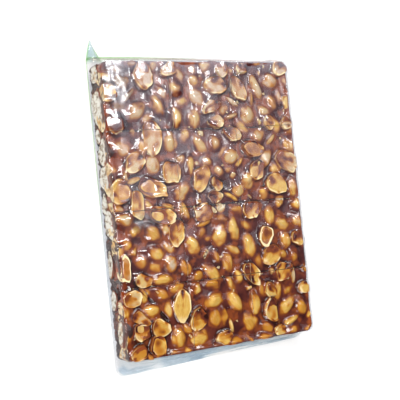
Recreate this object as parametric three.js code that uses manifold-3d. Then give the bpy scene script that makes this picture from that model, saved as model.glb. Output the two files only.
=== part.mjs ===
// A slab of peanut brittle, scored into squares and sealed in clear film, lying face up.
// Millimetres, +Z up, +X across the slab, +Y along it. The origin is under the middle of the wrap.
import * as THREE from "three";
import { mergeVertices } from "three/addons/utils/BufferGeometryUtils.js";
import Module from "manifold-3d";

// Driving dimensions
const slab = { width: 114, length: 152, thickness: 13, cornerRadius: 4 };
const leftLean = { flare: 1.8, reach: 14 };
const caramel = { level: 10, sideInset: 0.4 };
const scoreLines = { columns: [-19, 19], rows: [40, -1, -40], mouth: 0.9, depth: 4 };
const film = {
  thickness: 0.4,
  sideMargin: 2.7,
  footMargin: { left: 7.8, right: 3.9 },
  headMargin: { left: 4, right: 2.3, arch: 1.4 },
  ear: { reach: 12.4, tipInset: 2.5, width: 7.2, swell: 0.8 },
  cornerRadius: { footLeft: 5, footRight: 8, headRight: 4 },
};
const arcSteps = 5;

// Kinds of nut: range of length and width, height, how far the top may sink or lean, and how many
const nutKinds = {
  split: { length: [12, 16], width: [8.4, 10.4], height: 5, sink: 0.5, lean: 4, count: 34, tries: 900 },
  shard: { length: [8, 12], width: [6.5, 9], height: 5, sink: 0.7, lean: 8, count: 20, tries: 900 },
  whole: { length: [11, 14.5], width: [7.6, 9.6], height: 7, sink: 1.1, lean: 6, count: 68, tries: 3600 },
  sliver: { length: [8, 12], width: [2.6, 3.8], height: 6, sink: 0.8, lean: 12, count: 18, tries: 1200 },
  chip: { length: [4.6, 7.2], width: [3.6, 5.2], height: 4.6, sink: 0.9, lean: 25, count: 16, tries: 1800 },
};
const packing = { seed: 20, touch: 0.8, overEdge: 2 };

// The nuts that stand out, about nine in each scored square: kind, x, y, turn, length, width
const showyNuts = [
  ["split", -34, 68, 109, 14.5, 11], ["whole", -27, 54, 115, 16, 8], ["whole", -40, 49.5, 32, 14, 8.5],
  ["whole", -46, 65.5, 130, 10, 9], ["sliver", -42.5, 58.5, 45, 11, 3.2],
  ["whole", -16.5, 46.5, 79, 14, 9], ["whole", -5.5, 46, 83, 13, 8.5], ["split", 9, 63, 2, 14.5, 9.5],
  ["shard", -18.5, 72, 25, 11, 7.5], ["shard", 13.5, 71, 90, 8.5, 8], ["whole", -4, 66, 10, 11, 8.5],
  ["whole", -16, 62, 115, 12.5, 10.5], ["whole", -3.5, 57.5, 130, 14.5, 9], ["shard", 5, 51.5, 30, 12.5, 8],
  ["shard", 7, 43.5, 165, 10, 8.5],
  ["split", 23.5, 60.5, 108, 15.5, 8.5], ["whole", 35.5, 62.5, 110, 16.5, 6.5],
  ["whole", 28.5, 47, 83, 11.5, 10.5], ["shard", 27, 72, 30, 9, 6.5], ["whole", 45, 65.5, 165, 11.5, 9.5],
  ["sliver", 19, 54.5, 140, 10, 2.8], ["whole", 45, 53.5, 100, 12, 9.5], ["shard", 54, 41.5, 30, 9, 7.5],
  ["split", -32, 35.5, 86, 18.5, 11], ["split", -34, 10, 155, 17.5, 10], ["split", -53, 9, 38, 13, 12],
  ["whole", -21.5, 33.5, 80, 11.5, 8.5], ["whole", -48.5, 31.5, 110, 13.5, 11.5],
  ["split", -43.5, 23.5, 40, 12.5, 9.5], ["whole", -33, 22, 80, 11.5, 9],
  ["split", -22.5, 17, 85, 13.5, 11], ["split", -44, 1.5, 92, 15.5, 8],
  ["whole", -3.5, 31.5, 120, 13.5, 7], ["split", -6, 13, 66, 16, 9.5], ["whole", -17, 7.5, 48, 12, 8],
  ["shard", 16.5, 36, 170, 11.5, 9], ["whole", 6, 32, 100, 11, 8.5], ["whole", 15.5, 24, 20, 11, 9.5],
  ["whole", -11, 21, 85, 12.5, 6], ["whole", 6.5, 17, 130, 8.5, 7], ["whole", 18, 6, 25, 9.5, 7.5],
  ["split", 42.5, 7, 137, 13.5, 11.5], ["split", 51.5, 19.5, 140, 17, 11], ["split", 29, 27.5, 175, 14, 9],
  ["whole", 34, 34.5, 30, 12, 9.5], ["sliver", 42.5, 32.5, 45, 9.5, 3.2], ["whole", 54, 28.5, 120, 11, 8],
  ["split", 30.5, 16, 70, 11.5, 9.5], ["whole", 24, 10.5, 45, 9.5, 8.5], ["whole", 53.5, 5, 90, 12.5, 7.5],
  ["split", -30, -4.5, 160, 15.5, 9], ["split", -23, -14.5, 81, 14, 9.5],
  ["split", -55, -29.5, 96, 15.5, 8.5], ["whole", -52, -5, 155, 11, 8], ["whole", -52.5, -17, 105, 10, 8.5],
  ["whole", -35.5, -24, 130, 11, 9], ["whole", -45, -27, 0, 11.5, 10], ["whole", -28, -29.5, 45, 10, 8.5],
  ["whole", -20, -32, 110, 11.5, 7.5], ["shard", -44.5, -36, 30, 9, 9], ["whole", -33, -37, 178, 14, 6.5],
  ["split", -6.5, -4.5, 8, 12, 9.5], ["whole", 12, -14.5, 95, 15, 7.5], ["whole", -14, -21.5, 114, 12, 8],
  ["chip", 5.5, -3.5, 120, 7.2, 5.5], ["whole", 3, -17.5, 78, 13, 9.5], ["chip", -7, -27.5, 75, 7.2, 5.2],
  ["whole", 6, -32.5, 89, 11.5, 7.5], ["whole", -4, -37, 140, 14.5, 7.5],
  ["whole", 21, -24.5, 103, 15, 9], ["split", 24.5, -6, 93, 11, 10.5], ["split", 34, -31.5, 33, 12.5, 10],
  ["whole", 36, -10, 87, 13.5, 7.5], ["whole", 44, -15, 160, 12.5, 9], ["split", 32, -21, 83, 12, 10],
  ["whole", 45, -24, 85, 11.5, 8], ["whole", 49.5, -33, 95, 12.5, 9.5],
  ["split", -24, -52, 84, 18, 10.5], ["split", -37, -61, 177, 11, 9.5], ["whole", -28, -68, 92, 12, 9],
  ["split", -51.5, -44.5, 173, 10.5, 9], ["whole", -35, -44.5, 155, 10.5, 7],
  ["whole", -41.5, -52.5, 0, 11.5, 8.5], ["shard", -48, -55, 148, 12, 6], ["split", -48, -62, 91, 9.5, 9],
  ["split", -51, -72.5, 22, 10, 7],
  ["whole", 8, -53.5, 122, 13, 8], ["whole", 17, -66, 121, 13, 10.5], ["whole", -15, -70, 0, 12.5, 10],
  ["whole", 12, -40.5, 103, 9, 6.5], ["whole", -4.5, -51.5, 15, 13, 9],
  ["whole", -4.5, -60.5, 91, 11.5, 9.5], ["sliver", 4.5, -66, 98, 10, 3], ["shard", -1, -72, 11, 10.5, 8],
  ["split", 21, -40.5, 130, 15, 8.5], ["split", 41, -41, 47, 14, 9], ["whole", 42, -60, 43, 15, 7.5],
  ["sliver", 48, -44.5, 90, 9.5, 2.6], ["shard", 31.5, -50.5, 110, 9.5, 7.5],
  ["shard", 54.5, -51, 30, 8.5, 7], ["whole", 36.5, -51.5, 75, 12, 6], ["whole", 21, -56.5, 94, 13, 8],
  ["whole", 51.5, -62, 98, 10.5, 8], ["sliver", 44, -68.5, 20, 12, 4.2], ["shard", 35.5, -73, 3, 8.5, 6],
  ["whole", 44.5, -74, 6, 12, 8.5],
];

// Nuts sliced by the left side, head to foot: place along it, height, length, width and depth
const leftNuts = [
  [70, 5.2, 9, 7.5, 0.8], [65.5, 10, 5, 4, 1.6], [52, 5.6, 18, 10.2, 1.2], [38.5, 3.2, 7, 5, 0.6],
  [30, 6.8, 11.5, 10.2, 1.2], [16.5, 6.4, 12.5, 10.4, 1.5], [4, 3.2, 9, 5, 0.5], [-7, 6.4, 13, 10.2, 1.1],
  [-18, 10, 5, 4.2, 1.2], [-27, 3.2, 12, 5, 0.4], [-45, 3, 9, 5, 0.6], [-61, 7.6, 14.5, 8.6, 1.9],
  [-72, 7.8, 7.5, 6.6, 1.4],
];

// Nuts that the other sides slice through: their spacing, and ranges of height, depth, turn and size
const sideNuts = {
  spacing: 12,
  jitter: 2.5,
  height: [3.4, 6],
  depth: [-0.6, 2.4],
  turn: [50, 130],
  roll: [0, 180],
  pitch: [-30, 30],
  length: [11, 15],
  width: [6, 8],
};

// Few-sided nut forms: sides around and along, a whole nut's plumpness, and a half nut's outline
const nutSides = { whole: [6, 5], sliver: [5, 3], split: 8 };
const plump = 1.12;
const halfNut = { back: -2, shoulder: -0.24, rim: 0.93, dish: -0.34 };
const mergeGap = 1e-5;
const half = 0.5;

// Placing: the film's ear reaches further than its foot, so the slab lies a little below the middle
const slabCentreY = (film.footMargin.left - film.ear.reach) / 2;
const slabFoot = film.thickness;
const halfWidth = slab.width / 2;
const halfLength = slab.length / 2;
const quarterTurn = Math.PI / 2;
const leftAngle = 180;

const wasm = await Module();
wasm.setup();

// A repeatable stream of draws
function makeDraw(seed) {
  const factor = 48271;
  const modulus = 2147483647;
  let state = seed;
  return (low, high) => {
    state = (state * factor) % modulus;
    return low + (high - low) * (state / modulus);
  };
}

// A nut's footprint as three circles along its length
function footprint(nut) {
  const radius = nut.width / 2;
  const reach = nut.length / 2 - radius;
  const angle = THREE.MathUtils.degToRad(nut.turn);
  return [-1, 0, 1].map((end) => ({
    x: nut.x + end * reach * Math.cos(angle),
    y: nut.y + end * reach * Math.sin(angle),
    radius,
  }));
}

function isClear(circles, placed) {
  return placed.every((other) =>
    other.circles.every((far) =>
      circles.every((near) => {
        const gap = Math.hypot(near.x - far.x, near.y - far.y);
        return gap >= packing.touch * (near.radius + far.radius);
      })));
}

// Nuts of the face: the showy ones first, then each kind, largest first, wherever there is room
function layNuts(draw) {
  const placed = [];
  const counts = { split: 0, shard: 0, whole: 0, sliver: 0, chip: 0 };
  const finish = (nut) => {
    const kind = nutKinds[nut.kind];
    nut.sink = draw(0, kind.sink);
    nut.roll = draw(-kind.lean, kind.lean);
    nut.pitch = draw(-kind.lean, kind.lean);
    nut.circles = footprint(nut);
    counts[nut.kind] += 1;
    placed.push(nut);
  };
  for (const [kind, x, y, turn, length, width] of showyNuts) {
    finish({ kind, x, y, turn, length, width });
  }
  for (const kind of Object.keys(nutKinds)) {
    const { length, width, count, tries } = nutKinds[kind];
    for (let attempt = 0; attempt < tries && counts[kind] < count; attempt += 1) {
      const nut = {
        kind,
        x: draw(-halfWidth - packing.overEdge, halfWidth + packing.overEdge),
        y: draw(-halfLength - packing.overEdge, halfLength + packing.overEdge),
        turn: draw(0, 180),
        length: draw(...length),
        width: draw(...width),
      };
      if (isClear(footprint(nut), placed)) {
        finish(nut);
      }
    }
  }
  return placed;
}

// Whole kernels lying deeper along the four sides
function laySideNuts(draw) {
  const laid = [];
  const sides = [
    { along: slab.length, out: halfWidth, angle: 0 },
    { along: slab.width, out: halfLength, angle: 90 },
    { along: slab.length, out: halfWidth, angle: leftAngle },
    { along: slab.width, out: halfLength, angle: 270 },
  ];
  for (const { along, out, angle } of sides) {
    if (angle === leftAngle) {
      for (const [y, z, length, width, depth] of leftNuts) {
        laid.push({ x: depth - halfWidth, y, z, turn: leftAngle / 2, roll: 0, pitch: 0, length, width });
      }
      continue;
    }
    const steps = Math.floor(along / sideNuts.spacing);
    for (let step = 0; step < steps; step += 1) {
      const place = (step + half - steps / 2) * sideNuts.spacing;
      const slide = place + draw(-sideNuts.jitter, sideNuts.jitter);
      const inset = out - draw(...sideNuts.depth);
      const turned = THREE.MathUtils.degToRad(angle);
      laid.push({
        x: inset * Math.cos(turned) - slide * Math.sin(turned),
        y: inset * Math.sin(turned) + slide * Math.cos(turned),
        z: draw(...sideNuts.height),
        turn: angle + draw(...sideNuts.turn),
        roll: draw(...sideNuts.roll),
        pitch: draw(...sideNuts.pitch),
        length: draw(...sideNuts.length),
        width: draw(...sideNuts.width),
      });
    }
  }
  return laid;
}

// A closed solid from a geometry, with shared vertices merged and flat triangles left out
function toSolid(geometry) {
  geometry.deleteAttribute("normal");
  geometry.deleteAttribute("uv");
  const merged = mergeVertices(geometry, mergeGap);
  const corners = Array.from(merged.index.array);
  const kept = [];
  for (let i = 0; i < corners.length; i += 3) {
    const [a, b, c] = corners.slice(i, i + 3);
    if (a !== b && b !== c && c !== a) {
      kept.push(a, b, c);
    }
  }
  const vertProperties = new Float32Array(merged.attributes.position.array);
  const triVerts = new Uint32Array(kept);
  return new wasm.Manifold(new wasm.Mesh({ numProp: 3, vertProperties, triVerts }));
}

function toGeometry(solid) {
  const mesh = solid.getMesh();
  const geometry = new THREE.BufferGeometry();
  geometry.setAttribute("position", new THREE.BufferAttribute(mesh.vertProperties, 3));
  geometry.setIndex(new THREE.BufferAttribute(mesh.triVerts, 1));
  geometry.computeVertexNormals();
  return geometry;
}

// Unit nut forms: a long axis on X, and the top towards +Z
const nutForms = {
  whole: () => new THREE.SphereGeometry(1, ...nutSides.whole).rotateZ(quarterTurn).scale(plump, plump, 1),
  sliver: () => new THREE.SphereGeometry(1, ...nutSides.sliver).rotateZ(quarterTurn),
  chip: () => new THREE.OctahedronGeometry(1, 0),
  split: halfForm,
  shard: halfForm,
};

function halfForm() {
  const { back, shoulder, rim, dish } = halfNut;
  const profile = [[0, back], [1, shoulder], [rim, 0], [0, dish]];
  const points = profile.map(([across, up]) => new THREE.Vector2(across, up));
  return new THREE.LatheGeometry(points, nutSides.split).rotateX(quarterTurn);
}

function placeNut(nut, form, height, z) {
  const lean = new THREE.Euler(
    THREE.MathUtils.degToRad(nut.roll),
    THREE.MathUtils.degToRad(nut.pitch),
    THREE.MathUtils.degToRad(nut.turn),
    "ZYX",
  );
  const matrix = new THREE.Matrix4().compose(
    new THREE.Vector3(nut.x, nut.y, z),
    new THREE.Quaternion().setFromEuler(lean),
    new THREE.Vector3(nut.length / 2, nut.width / 2, height / 2),
  );
  return toSolid(nutForms[form]().applyMatrix4(matrix));
}

function faceNutSolid(nut) {
  const { height } = nutKinds[nut.kind];
  const top = slabFoot + slab.thickness - nut.sink;
  const middle = nutForms[nut.kind] === halfForm ? top : top - height / 2;
  return placeNut(nut, nut.kind, height, middle);
}

function sideNutSolid(nut) {
  return placeNut(nut, "whole", nut.width, slabFoot + nut.z);
}

// A block with rounded corners, standing on the film
function roundedBlock(width, length, height, radius) {
  const x = width / 2 - radius;
  const y = length / 2 - radius;
  const outline = new THREE.Shape();
  outline.absarc(x, -y, radius, -quarterTurn, 0);
  outline.absarc(x, y, radius, 0, quarterTurn);
  outline.absarc(-x, y, radius, quarterTurn, 2 * quarterTurn);
  outline.absarc(-x, -y, radius, 2 * quarterTurn, 3 * quarterTurn);
  outline.closePath();
  const options = { depth: height, bevelEnabled: false, curveSegments: arcSteps };
  return toSolid(new THREE.ExtrudeGeometry(outline, options).translate(0, 0, slabFoot));
}

// A knife line: a narrow wedge along Y, point down
function scoreWedge(length) {
  const wedge = new THREE.Shape();
  const mouth = scoreLines.mouth / 2;
  wedge.moveTo(0, -scoreLines.depth);
  wedge.lineTo(mouth, 0);
  wedge.lineTo(mouth, slab.thickness);
  wedge.lineTo(-mouth, slab.thickness);
  wedge.lineTo(-mouth, 0);
  wedge.closePath();
  const geometry = new THREE.ExtrudeGeometry(wedge, { depth: length, bevelEnabled: false });
  geometry.translate(0, 0, -length / 2);
  geometry.rotateX(quarterTurn);
  return geometry.translate(0, 0, slabFoot + slab.thickness);
}

// The left side slopes out towards its foot
function leanOut(vertex) {
  const share = Math.min(Math.max((leftLean.reach - halfWidth - vertex[0]) / leftLean.reach, 0), 1);
  vertex[0] -= leftLean.flare * share * (1 - (vertex[2] - slabFoot) / slab.thickness);
}

function makeBrittle() {
  const draw = makeDraw(packing.seed);
  const faceNuts = layNuts(draw).map(faceNutSolid);
  const cutNuts = laySideNuts(draw).map(sideNutSolid);
  const inset = 2 * caramel.sideInset;
  let solid = roundedBlock(slab.width - inset, slab.length - inset, caramel.level, slab.cornerRadius);
  for (const nut of [...faceNuts, ...cutNuts]) {
    solid = solid.add(nut);
  }
  solid = solid.intersect(roundedBlock(slab.width, slab.length, slab.thickness, slab.cornerRadius));
  const overrun = 2 * slab.cornerRadius;
  for (const x of scoreLines.columns) {
    solid = solid.subtract(toSolid(scoreWedge(slab.length + overrun).translate(x, 0, 0)));
  }
  for (const y of scoreLines.rows) {
    const wedge = scoreWedge(slab.width + overrun).rotateZ(quarterTurn);
    solid = solid.subtract(toSolid(wedge.translate(0, y, 0)));
  }
  const pieces = solid.decompose();
  pieces.sort((one, other) => other.volume() - one.volume());
  const geometry = toGeometry(pieces[0].warp(leanOut)).translate(0, slabCentreY, 0);
  const material = new THREE.MeshStandardMaterial({ color: 0x8a4a22, roughness: 0.25, metalness: 0 });
  const mesh = new THREE.Mesh(geometry, material);
  mesh.name = "brittle";
  return mesh;
}

// The film's back sheet, with its sealed margins and the pointed ear at the head's left corner
function makeFilm() {
  const side = halfWidth + film.sideMargin;
  const { footLeft, footRight, headRight } = film.cornerRadius;
  const foot = { left: -halfLength - film.footMargin.left, right: -halfLength - film.footMargin.right };
  const head = { left: halfLength + film.headMargin.left, right: halfLength + film.headMargin.right };
  const ear = { x: -side + film.ear.tipInset, y: halfLength + film.ear.reach, foot: -side + film.ear.width };
  const outline = new THREE.Shape();
  outline.moveTo(-side + footLeft, foot.left);
  outline.lineTo(side - footRight, foot.right);
  outline.quadraticCurveTo(side, foot.right, side, foot.right + footRight);
  outline.lineTo(side, head.right - headRight);
  outline.quadraticCurveTo(side, head.right, side - headRight, head.right);
  outline.quadraticCurveTo(-halfWidth / 2, head.left + film.headMargin.arch, ear.foot, head.left);
  const swollen = { x: (ear.foot + ear.x) / 2 + film.ear.swell, y: (head.left + ear.y) / 2 };
  outline.quadraticCurveTo(swollen.x, swollen.y, ear.x, ear.y);
  outline.lineTo(-side, halfLength);
  outline.lineTo(-side, foot.left + footLeft);
  outline.quadraticCurveTo(-side, foot.left, -side + footLeft, foot.left);
  const options = { depth: film.thickness, bevelEnabled: false, curveSegments: arcSteps };
  const geometry = new THREE.ExtrudeGeometry(outline, options).translate(0, slabCentreY, 0);
  const material = new THREE.MeshStandardMaterial({ color: 0xcfdce0, roughness: 0.2, metalness: 0 });
  const mesh = new THREE.Mesh(geometry, material);
  mesh.name = "film_wrap";
  return mesh;
}

const group = new THREE.Group();
group.add(makeFilm(), makeBrittle());

export default group;
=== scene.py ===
import math

import bmesh
import bpy
import numpy as np
from mathutils import Matrix, Vector, noise
from mathutils.bvhtree import BVHTree


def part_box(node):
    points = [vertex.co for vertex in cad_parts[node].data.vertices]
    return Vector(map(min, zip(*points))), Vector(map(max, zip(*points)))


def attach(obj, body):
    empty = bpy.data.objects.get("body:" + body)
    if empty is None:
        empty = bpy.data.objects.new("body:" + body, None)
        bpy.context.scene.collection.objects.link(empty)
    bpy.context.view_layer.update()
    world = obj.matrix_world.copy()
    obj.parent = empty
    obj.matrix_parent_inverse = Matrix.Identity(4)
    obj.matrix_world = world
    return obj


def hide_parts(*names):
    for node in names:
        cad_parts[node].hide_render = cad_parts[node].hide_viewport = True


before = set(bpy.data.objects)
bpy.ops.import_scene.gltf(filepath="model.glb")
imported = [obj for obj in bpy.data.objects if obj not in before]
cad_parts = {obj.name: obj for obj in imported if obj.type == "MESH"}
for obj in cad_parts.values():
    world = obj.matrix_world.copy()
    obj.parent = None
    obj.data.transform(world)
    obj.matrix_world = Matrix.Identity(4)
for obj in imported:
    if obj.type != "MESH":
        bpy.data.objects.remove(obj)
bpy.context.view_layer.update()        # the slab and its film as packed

mm = 0.001
brittleLow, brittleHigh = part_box("brittle")
leftLean = {"flare": 1.8, "reach": 14.0}        # the left side slopes out towards its foot
brittleLow.x += leftLean["flare"] * mm
slabMiddle = (brittleLow + brittleHigh) / 2

# The pieces are modelled in millimetres from the middle of the slab's underside
toFrame = Matrix.Translation((slabMiddle.x, slabMiddle.y, brittleLow.z)) @ Matrix.Scale(mm, 4)
slab = {
    "width": (brittleHigh.x - brittleLow.x) / mm,
    "length": (brittleHigh.y - brittleLow.y) / mm,
    "thickness": (brittleHigh.z - brittleLow.z) / mm,
    "corner": 4.0,
    "columnCuts": (-19.0, 19.0),
    "rowCuts": (40.0, -1.0, -40.0),
    "cutDepth": 4.0,
    "cutMouth": 0.5,
}
halfWidth = slab["width"] / 2
halfLength = slab["length"] / 2
print("slab", round(slab["width"]), "x", round(slab["length"]), "x", round(slab["thickness"]), "mm")


# Laying the nuts: the same draws and the same rule as the solids
nutKinds = {
    "split": {"length": (12, 16), "width": (8.4, 10.4), "height": 5.0,
              "sink": 0.5, "lean": 4, "count": 34, "tries": 900},
    "shard": {"length": (8, 12), "width": (6.5, 9), "height": 5.0,
              "sink": 0.7, "lean": 8, "count": 20, "tries": 900},
    "whole": {"length": (11, 14.5), "width": (7.6, 9.6), "height": 7.0,
              "sink": 1.1, "lean": 6, "count": 68, "tries": 3600},
    "sliver": {"length": (8, 12), "width": (2.6, 3.8), "height": 6.0,
               "sink": 0.8, "lean": 12, "count": 18, "tries": 1200},
    "chip": {"length": (4.6, 7.2), "width": (3.6, 5.2), "height": 4.6,
             "sink": 0.9, "lean": 25, "count": 16, "tries": 1800},
}
packing = {"seed": 20, "touch": 0.8, "overEdge": 2.0, "headroom": 0.3, "leafFrom": 17.8}
showyNuts = [   # about nine in each scored square: kind, x, y, turn, length, width, tone, wetness
    ("split", -34, 68, 109, 14.5, 11, 0.9, 0.1), ("whole", -27, 54, 115, 16, 8, 0.3, 0.7),
    ("whole", -40, 49.5, 32, 14, 8.5, 0.5, 0.2), ("whole", -46, 65.5, 130, 10, 9, 0.8, 0.4),
    ("sliver", -42.5, 58.5, 45, 11, 3.2, 0.7, 0.2),
    ("whole", -16.5, 46.5, 79, 14, 9, 0.3, 0.7), ("whole", -5.5, 46, 83, 13, 8.5, 0.4, 0.5),
    ("split", 9, 63, 2, 14.5, 9.5, 0.6, 0.2), ("shard", -18.5, 72, 25, 11, 7.5, 0.85, 0.3),
    ("shard", 13.5, 71, 90, 8.5, 8, 0.85, 0.4), ("whole", -4, 66, 10, 11, 8.5, 0.3, 0.85),
    ("whole", -16, 62, 115, 12.5, 10.5, 0.3, 0.95), ("whole", -3.5, 57.5, 130, 14.5, 9, 0.65, 0.3),
    ("shard", 5, 51.5, 30, 12.5, 8, 0.8, 0.1), ("shard", 7, 43.5, 165, 10, 8.5, 0.55, 0.15),
    ("split", 23.5, 60.5, 108, 15.5, 8.5, 0.5, 0.4), ("whole", 35.5, 62.5, 110, 16.5, 6.5, 0.5, 0.3),
    ("whole", 28.5, 47, 83, 11.5, 10.5, 0.5, 0.2), ("shard", 27, 72, 30, 9, 6.5, 0.8, 0.4),
    ("whole", 45, 65.5, 165, 11.5, 9.5, 0.65, 0.6), ("sliver", 19, 54.5, 140, 10, 2.8, 0.8, 0.1),
    ("whole", 45, 53.5, 100, 12, 9.5, 0.3, 0.85), ("shard", 54, 41.5, 30, 9, 7.5, 0.75, 0.1),
    ("split", -32, 35.5, 86, 18.5, 11, 0.65, 0), ("split", -34, 10, 155, 17.5, 10, 0.35, 0.7),
    ("split", -53, 9, 38, 13, 12, 0.35, 0.8), ("whole", -21.5, 33.5, 80, 11.5, 8.5, 0.5, 0.15),
    ("whole", -48.5, 31.5, 110, 13.5, 11.5, 0.85, 0.55), ("split", -43.5, 23.5, 40, 12.5, 9.5, 0.65, 0.15),
    ("whole", -33, 22, 80, 11.5, 9, 0.65, 0.1), ("split", -22.5, 17, 85, 13.5, 11, 0.5, 0.3),
    ("split", -44, 1.5, 92, 15.5, 8, 0.5, 0.2),
    ("whole", -3.5, 31.5, 120, 13.5, 7, 0.5, 0.3), ("split", -6, 13, 66, 16, 9.5, 0.3, 0.3),
    ("whole", -17, 7.5, 48, 12, 8, 0.6, 0.3), ("shard", 16.5, 36, 170, 11.5, 9, 0.6, 0.35),
    ("whole", 6, 32, 100, 11, 8.5, 0.6, 0.8), ("whole", 15.5, 24, 20, 11, 9.5, 0.55, 0.3),
    ("whole", -11, 21, 85, 12.5, 6, 0.35, 0.6), ("whole", 6.5, 17, 130, 8.5, 7, 0.6, 0.7),
    ("whole", 18, 6, 25, 9.5, 7.5, 0.5, 0.2),
    ("split", 42.5, 7, 137, 13.5, 11.5, 0.35, 0.2), ("split", 51.5, 19.5, 140, 17, 11, 0.65, 0.2),
    ("split", 29, 27.5, 175, 14, 9, 0.2, 0.95), ("whole", 34, 34.5, 30, 12, 9.5, 0.6, 0.9),
    ("sliver", 42.5, 32.5, 45, 9.5, 3.2, 0.5, 0.2), ("whole", 54, 28.5, 120, 11, 8, 0.4, 0.4),
    ("split", 30.5, 16, 70, 11.5, 9.5, 0.4, 0.65), ("whole", 24, 10.5, 45, 9.5, 8.5, 0.5, 0.2),
    ("whole", 53.5, 5, 90, 12.5, 7.5, 0.35, 0.6),
    ("split", -30, -4.5, 160, 15.5, 9, 0.4, 0.6), ("split", -23, -14.5, 81, 14, 9.5, 0.5, 0.2),
    ("split", -55, -29.5, 96, 15.5, 8.5, 0.95, 1), ("whole", -52, -5, 155, 11, 8, 0.7, 0.6),
    ("whole", -52.5, -17, 105, 10, 8.5, 0.15, 0.9), ("whole", -35.5, -24, 130, 11, 9, 0.5, 0.6),
    ("whole", -45, -27, 0, 11.5, 10, 0.5, 0.85), ("whole", -28, -29.5, 45, 10, 8.5, 0.95, 0.5),
    ("whole", -20, -32, 110, 11.5, 7.5, 0.15, 0.6), ("shard", -44.5, -36, 30, 9, 9, 0.7, 0.2),
    ("whole", -33, -37, 178, 14, 6.5, 0.4, 0.3),
    ("split", -6.5, -4.5, 8, 12, 9.5, 0.8, 0), ("whole", 12, -14.5, 95, 15, 7.5, 0.45, 0.2),
    ("whole", -14, -21.5, 114, 12, 8, 0.5, 0.2), ("chip", 5.5, -3.5, 120, 7.2, 5.5, 0.75, 0.1),
    ("whole", 3, -17.5, 78, 13, 9.5, 0.45, 0.35), ("chip", -7, -27.5, 75, 7.2, 5.2, 0.9, 0.1),
    ("whole", 6, -32.5, 89, 11.5, 7.5, 0.45, 0.4), ("whole", -4, -37, 140, 14.5, 7.5, 0.4, 0.3),
    ("whole", 21, -24.5, 103, 15, 9, 0.45, 0.3), ("split", 24.5, -6, 93, 11, 10.5, 0.5, 0.5),
    ("split", 34, -31.5, 33, 12.5, 10, 0.4, 0.3), ("whole", 36, -10, 87, 13.5, 7.5, 0.35, 0.5),
    ("whole", 44, -15, 160, 12.5, 9, 0.5, 0.65), ("split", 32, -21, 83, 12, 10, 0.9, 0.95),
    ("whole", 45, -24, 85, 11.5, 8, 0.5, 0.3), ("whole", 49.5, -33, 95, 12.5, 9.5, 0.2, 1),
    ("split", -24, -52, 84, 18, 10.5, 0.5, 0.1), ("split", -37, -61, 177, 11, 9.5, 0.4, 0.25),
    ("whole", -28, -68, 92, 12, 9, 0.5, 0.1), ("split", -51.5, -44.5, 173, 10.5, 9, 0.8, 0.25),
    ("whole", -35, -44.5, 155, 10.5, 7, 0.2, 0.85), ("whole", -41.5, -52.5, 0, 11.5, 8.5, 0.5, 0.2),
    ("shard", -48, -55, 148, 12, 6, 0.9, 0.4), ("split", -48, -62, 91, 9.5, 9, 0.8, 0.6),
    ("split", -51, -72.5, 22, 10, 7, 0.3, 0.7),
    ("whole", 8, -53.5, 122, 13, 8, 0.5, 0.2), ("whole", 17, -66, 121, 13, 10.5, 0.4, 0.4),
    ("whole", -15, -70, 0, 12.5, 10, 0.55, 0), ("whole", 12, -40.5, 103, 9, 6.5, 0.5, 0.2),
    ("whole", -4.5, -51.5, 15, 13, 9, 0.5, 0.3), ("whole", -4.5, -60.5, 91, 11.5, 9.5, 0.3, 0.3),
    ("sliver", 4.5, -66, 98, 10, 3, 0.8, 0.2), ("shard", -1, -72, 11, 10.5, 8, 0.6, 0.2),
    ("split", 21, -40.5, 130, 15, 8.5, 0.5, 0.6), ("split", 41, -41, 47, 14, 9, 0.5, 0.3),
    ("whole", 42, -60, 43, 15, 7.5, 0.5, 0.2), ("sliver", 48, -44.5, 90, 9.5, 2.6, 0.9, 0.1),
    ("shard", 31.5, -50.5, 110, 9.5, 7.5, 0.65, 0.15), ("shard", 54.5, -51, 30, 8.5, 7, 0.55, 0.3),
    ("whole", 36.5, -51.5, 75, 12, 6, 0.35, 0.3), ("whole", 21, -56.5, 94, 13, 8, 0.55, 0.25),
    ("whole", 51.5, -62, 98, 10.5, 8, 0.15, 0.7), ("sliver", 44, -68.5, 20, 12, 4.2, 0.5, 0.3),
    ("shard", 35.5, -73, 3, 8.5, 6, 0.75, 0.3), ("whole", 44.5, -74, 6, 12, 8.5, 0.2, 0.95),
]
leftNuts = [   # sliced by the left side: place along it, height, length, width, depth, tone, wetness
    (70, 5.2, 9, 7.5, 0.8, 0.5, 0.6), (65.5, 10, 5, 4, 1.6, 0.6, 0.0),
    (52, 5.6, 18, 10.2, 1.2, 0.4, 0.0), (38.5, 3.2, 7, 5, 0.6, 0.5, 0.9),
    (30, 6.8, 11.5, 10.2, 1.2, 0.4, 0.0), (16.5, 6.4, 12.5, 10.4, 1.5, 0.4, 0.0),
    (4, 3.2, 9, 5, 0.5, 0.5, 0.8), (-7, 6.4, 13, 10.2, 1.1, 0.5, 0.0),
    (-18, 10, 5, 4.2, 1.2, 0.8, 0.0), (-27, 3.2, 12, 5, 0.4, 0.5, 0.5),
    (-45, 3, 9, 5, 0.6, 0.5, 0.8), (-61, 7.6, 14.5, 8.6, 1.9, 0.5, 0.0),
    (-72, 7.8, 7.5, 6.6, 1.4, 0.5, 0.0),
]
sideNuts = {
    "spacing": 12, "jitter": 2.5, "height": (3.4, 6), "depth": (-0.6, 2.4), "turn": (50, 130),
    "roll": (0, 180), "pitch": (-30, 30), "length": (11, 15), "width": (6, 8),
}
leftAngle = 180
dressing = {"seed": 77, "tone": (0.05, 0.75), "paintedHeadSheen": 0.32, "wet": (0.45, 1.05), "twist": (0, 50)}


def makeDraw(seed):
    factor = 48271
    modulus = 2147483647
    state = seed

    def draw(low, high):
        nonlocal state
        state = state * factor % modulus
        return low + (high - low) * (state / modulus)
    return draw


toneDraw = makeDraw(dressing["seed"])        # finishes that the solids don't have are drawn apart


def smoothStep(low, high, value):
    share = min(max((value - low) / (high - low), 0), 1)
    return share * share * (3 - 2 * share)


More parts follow.
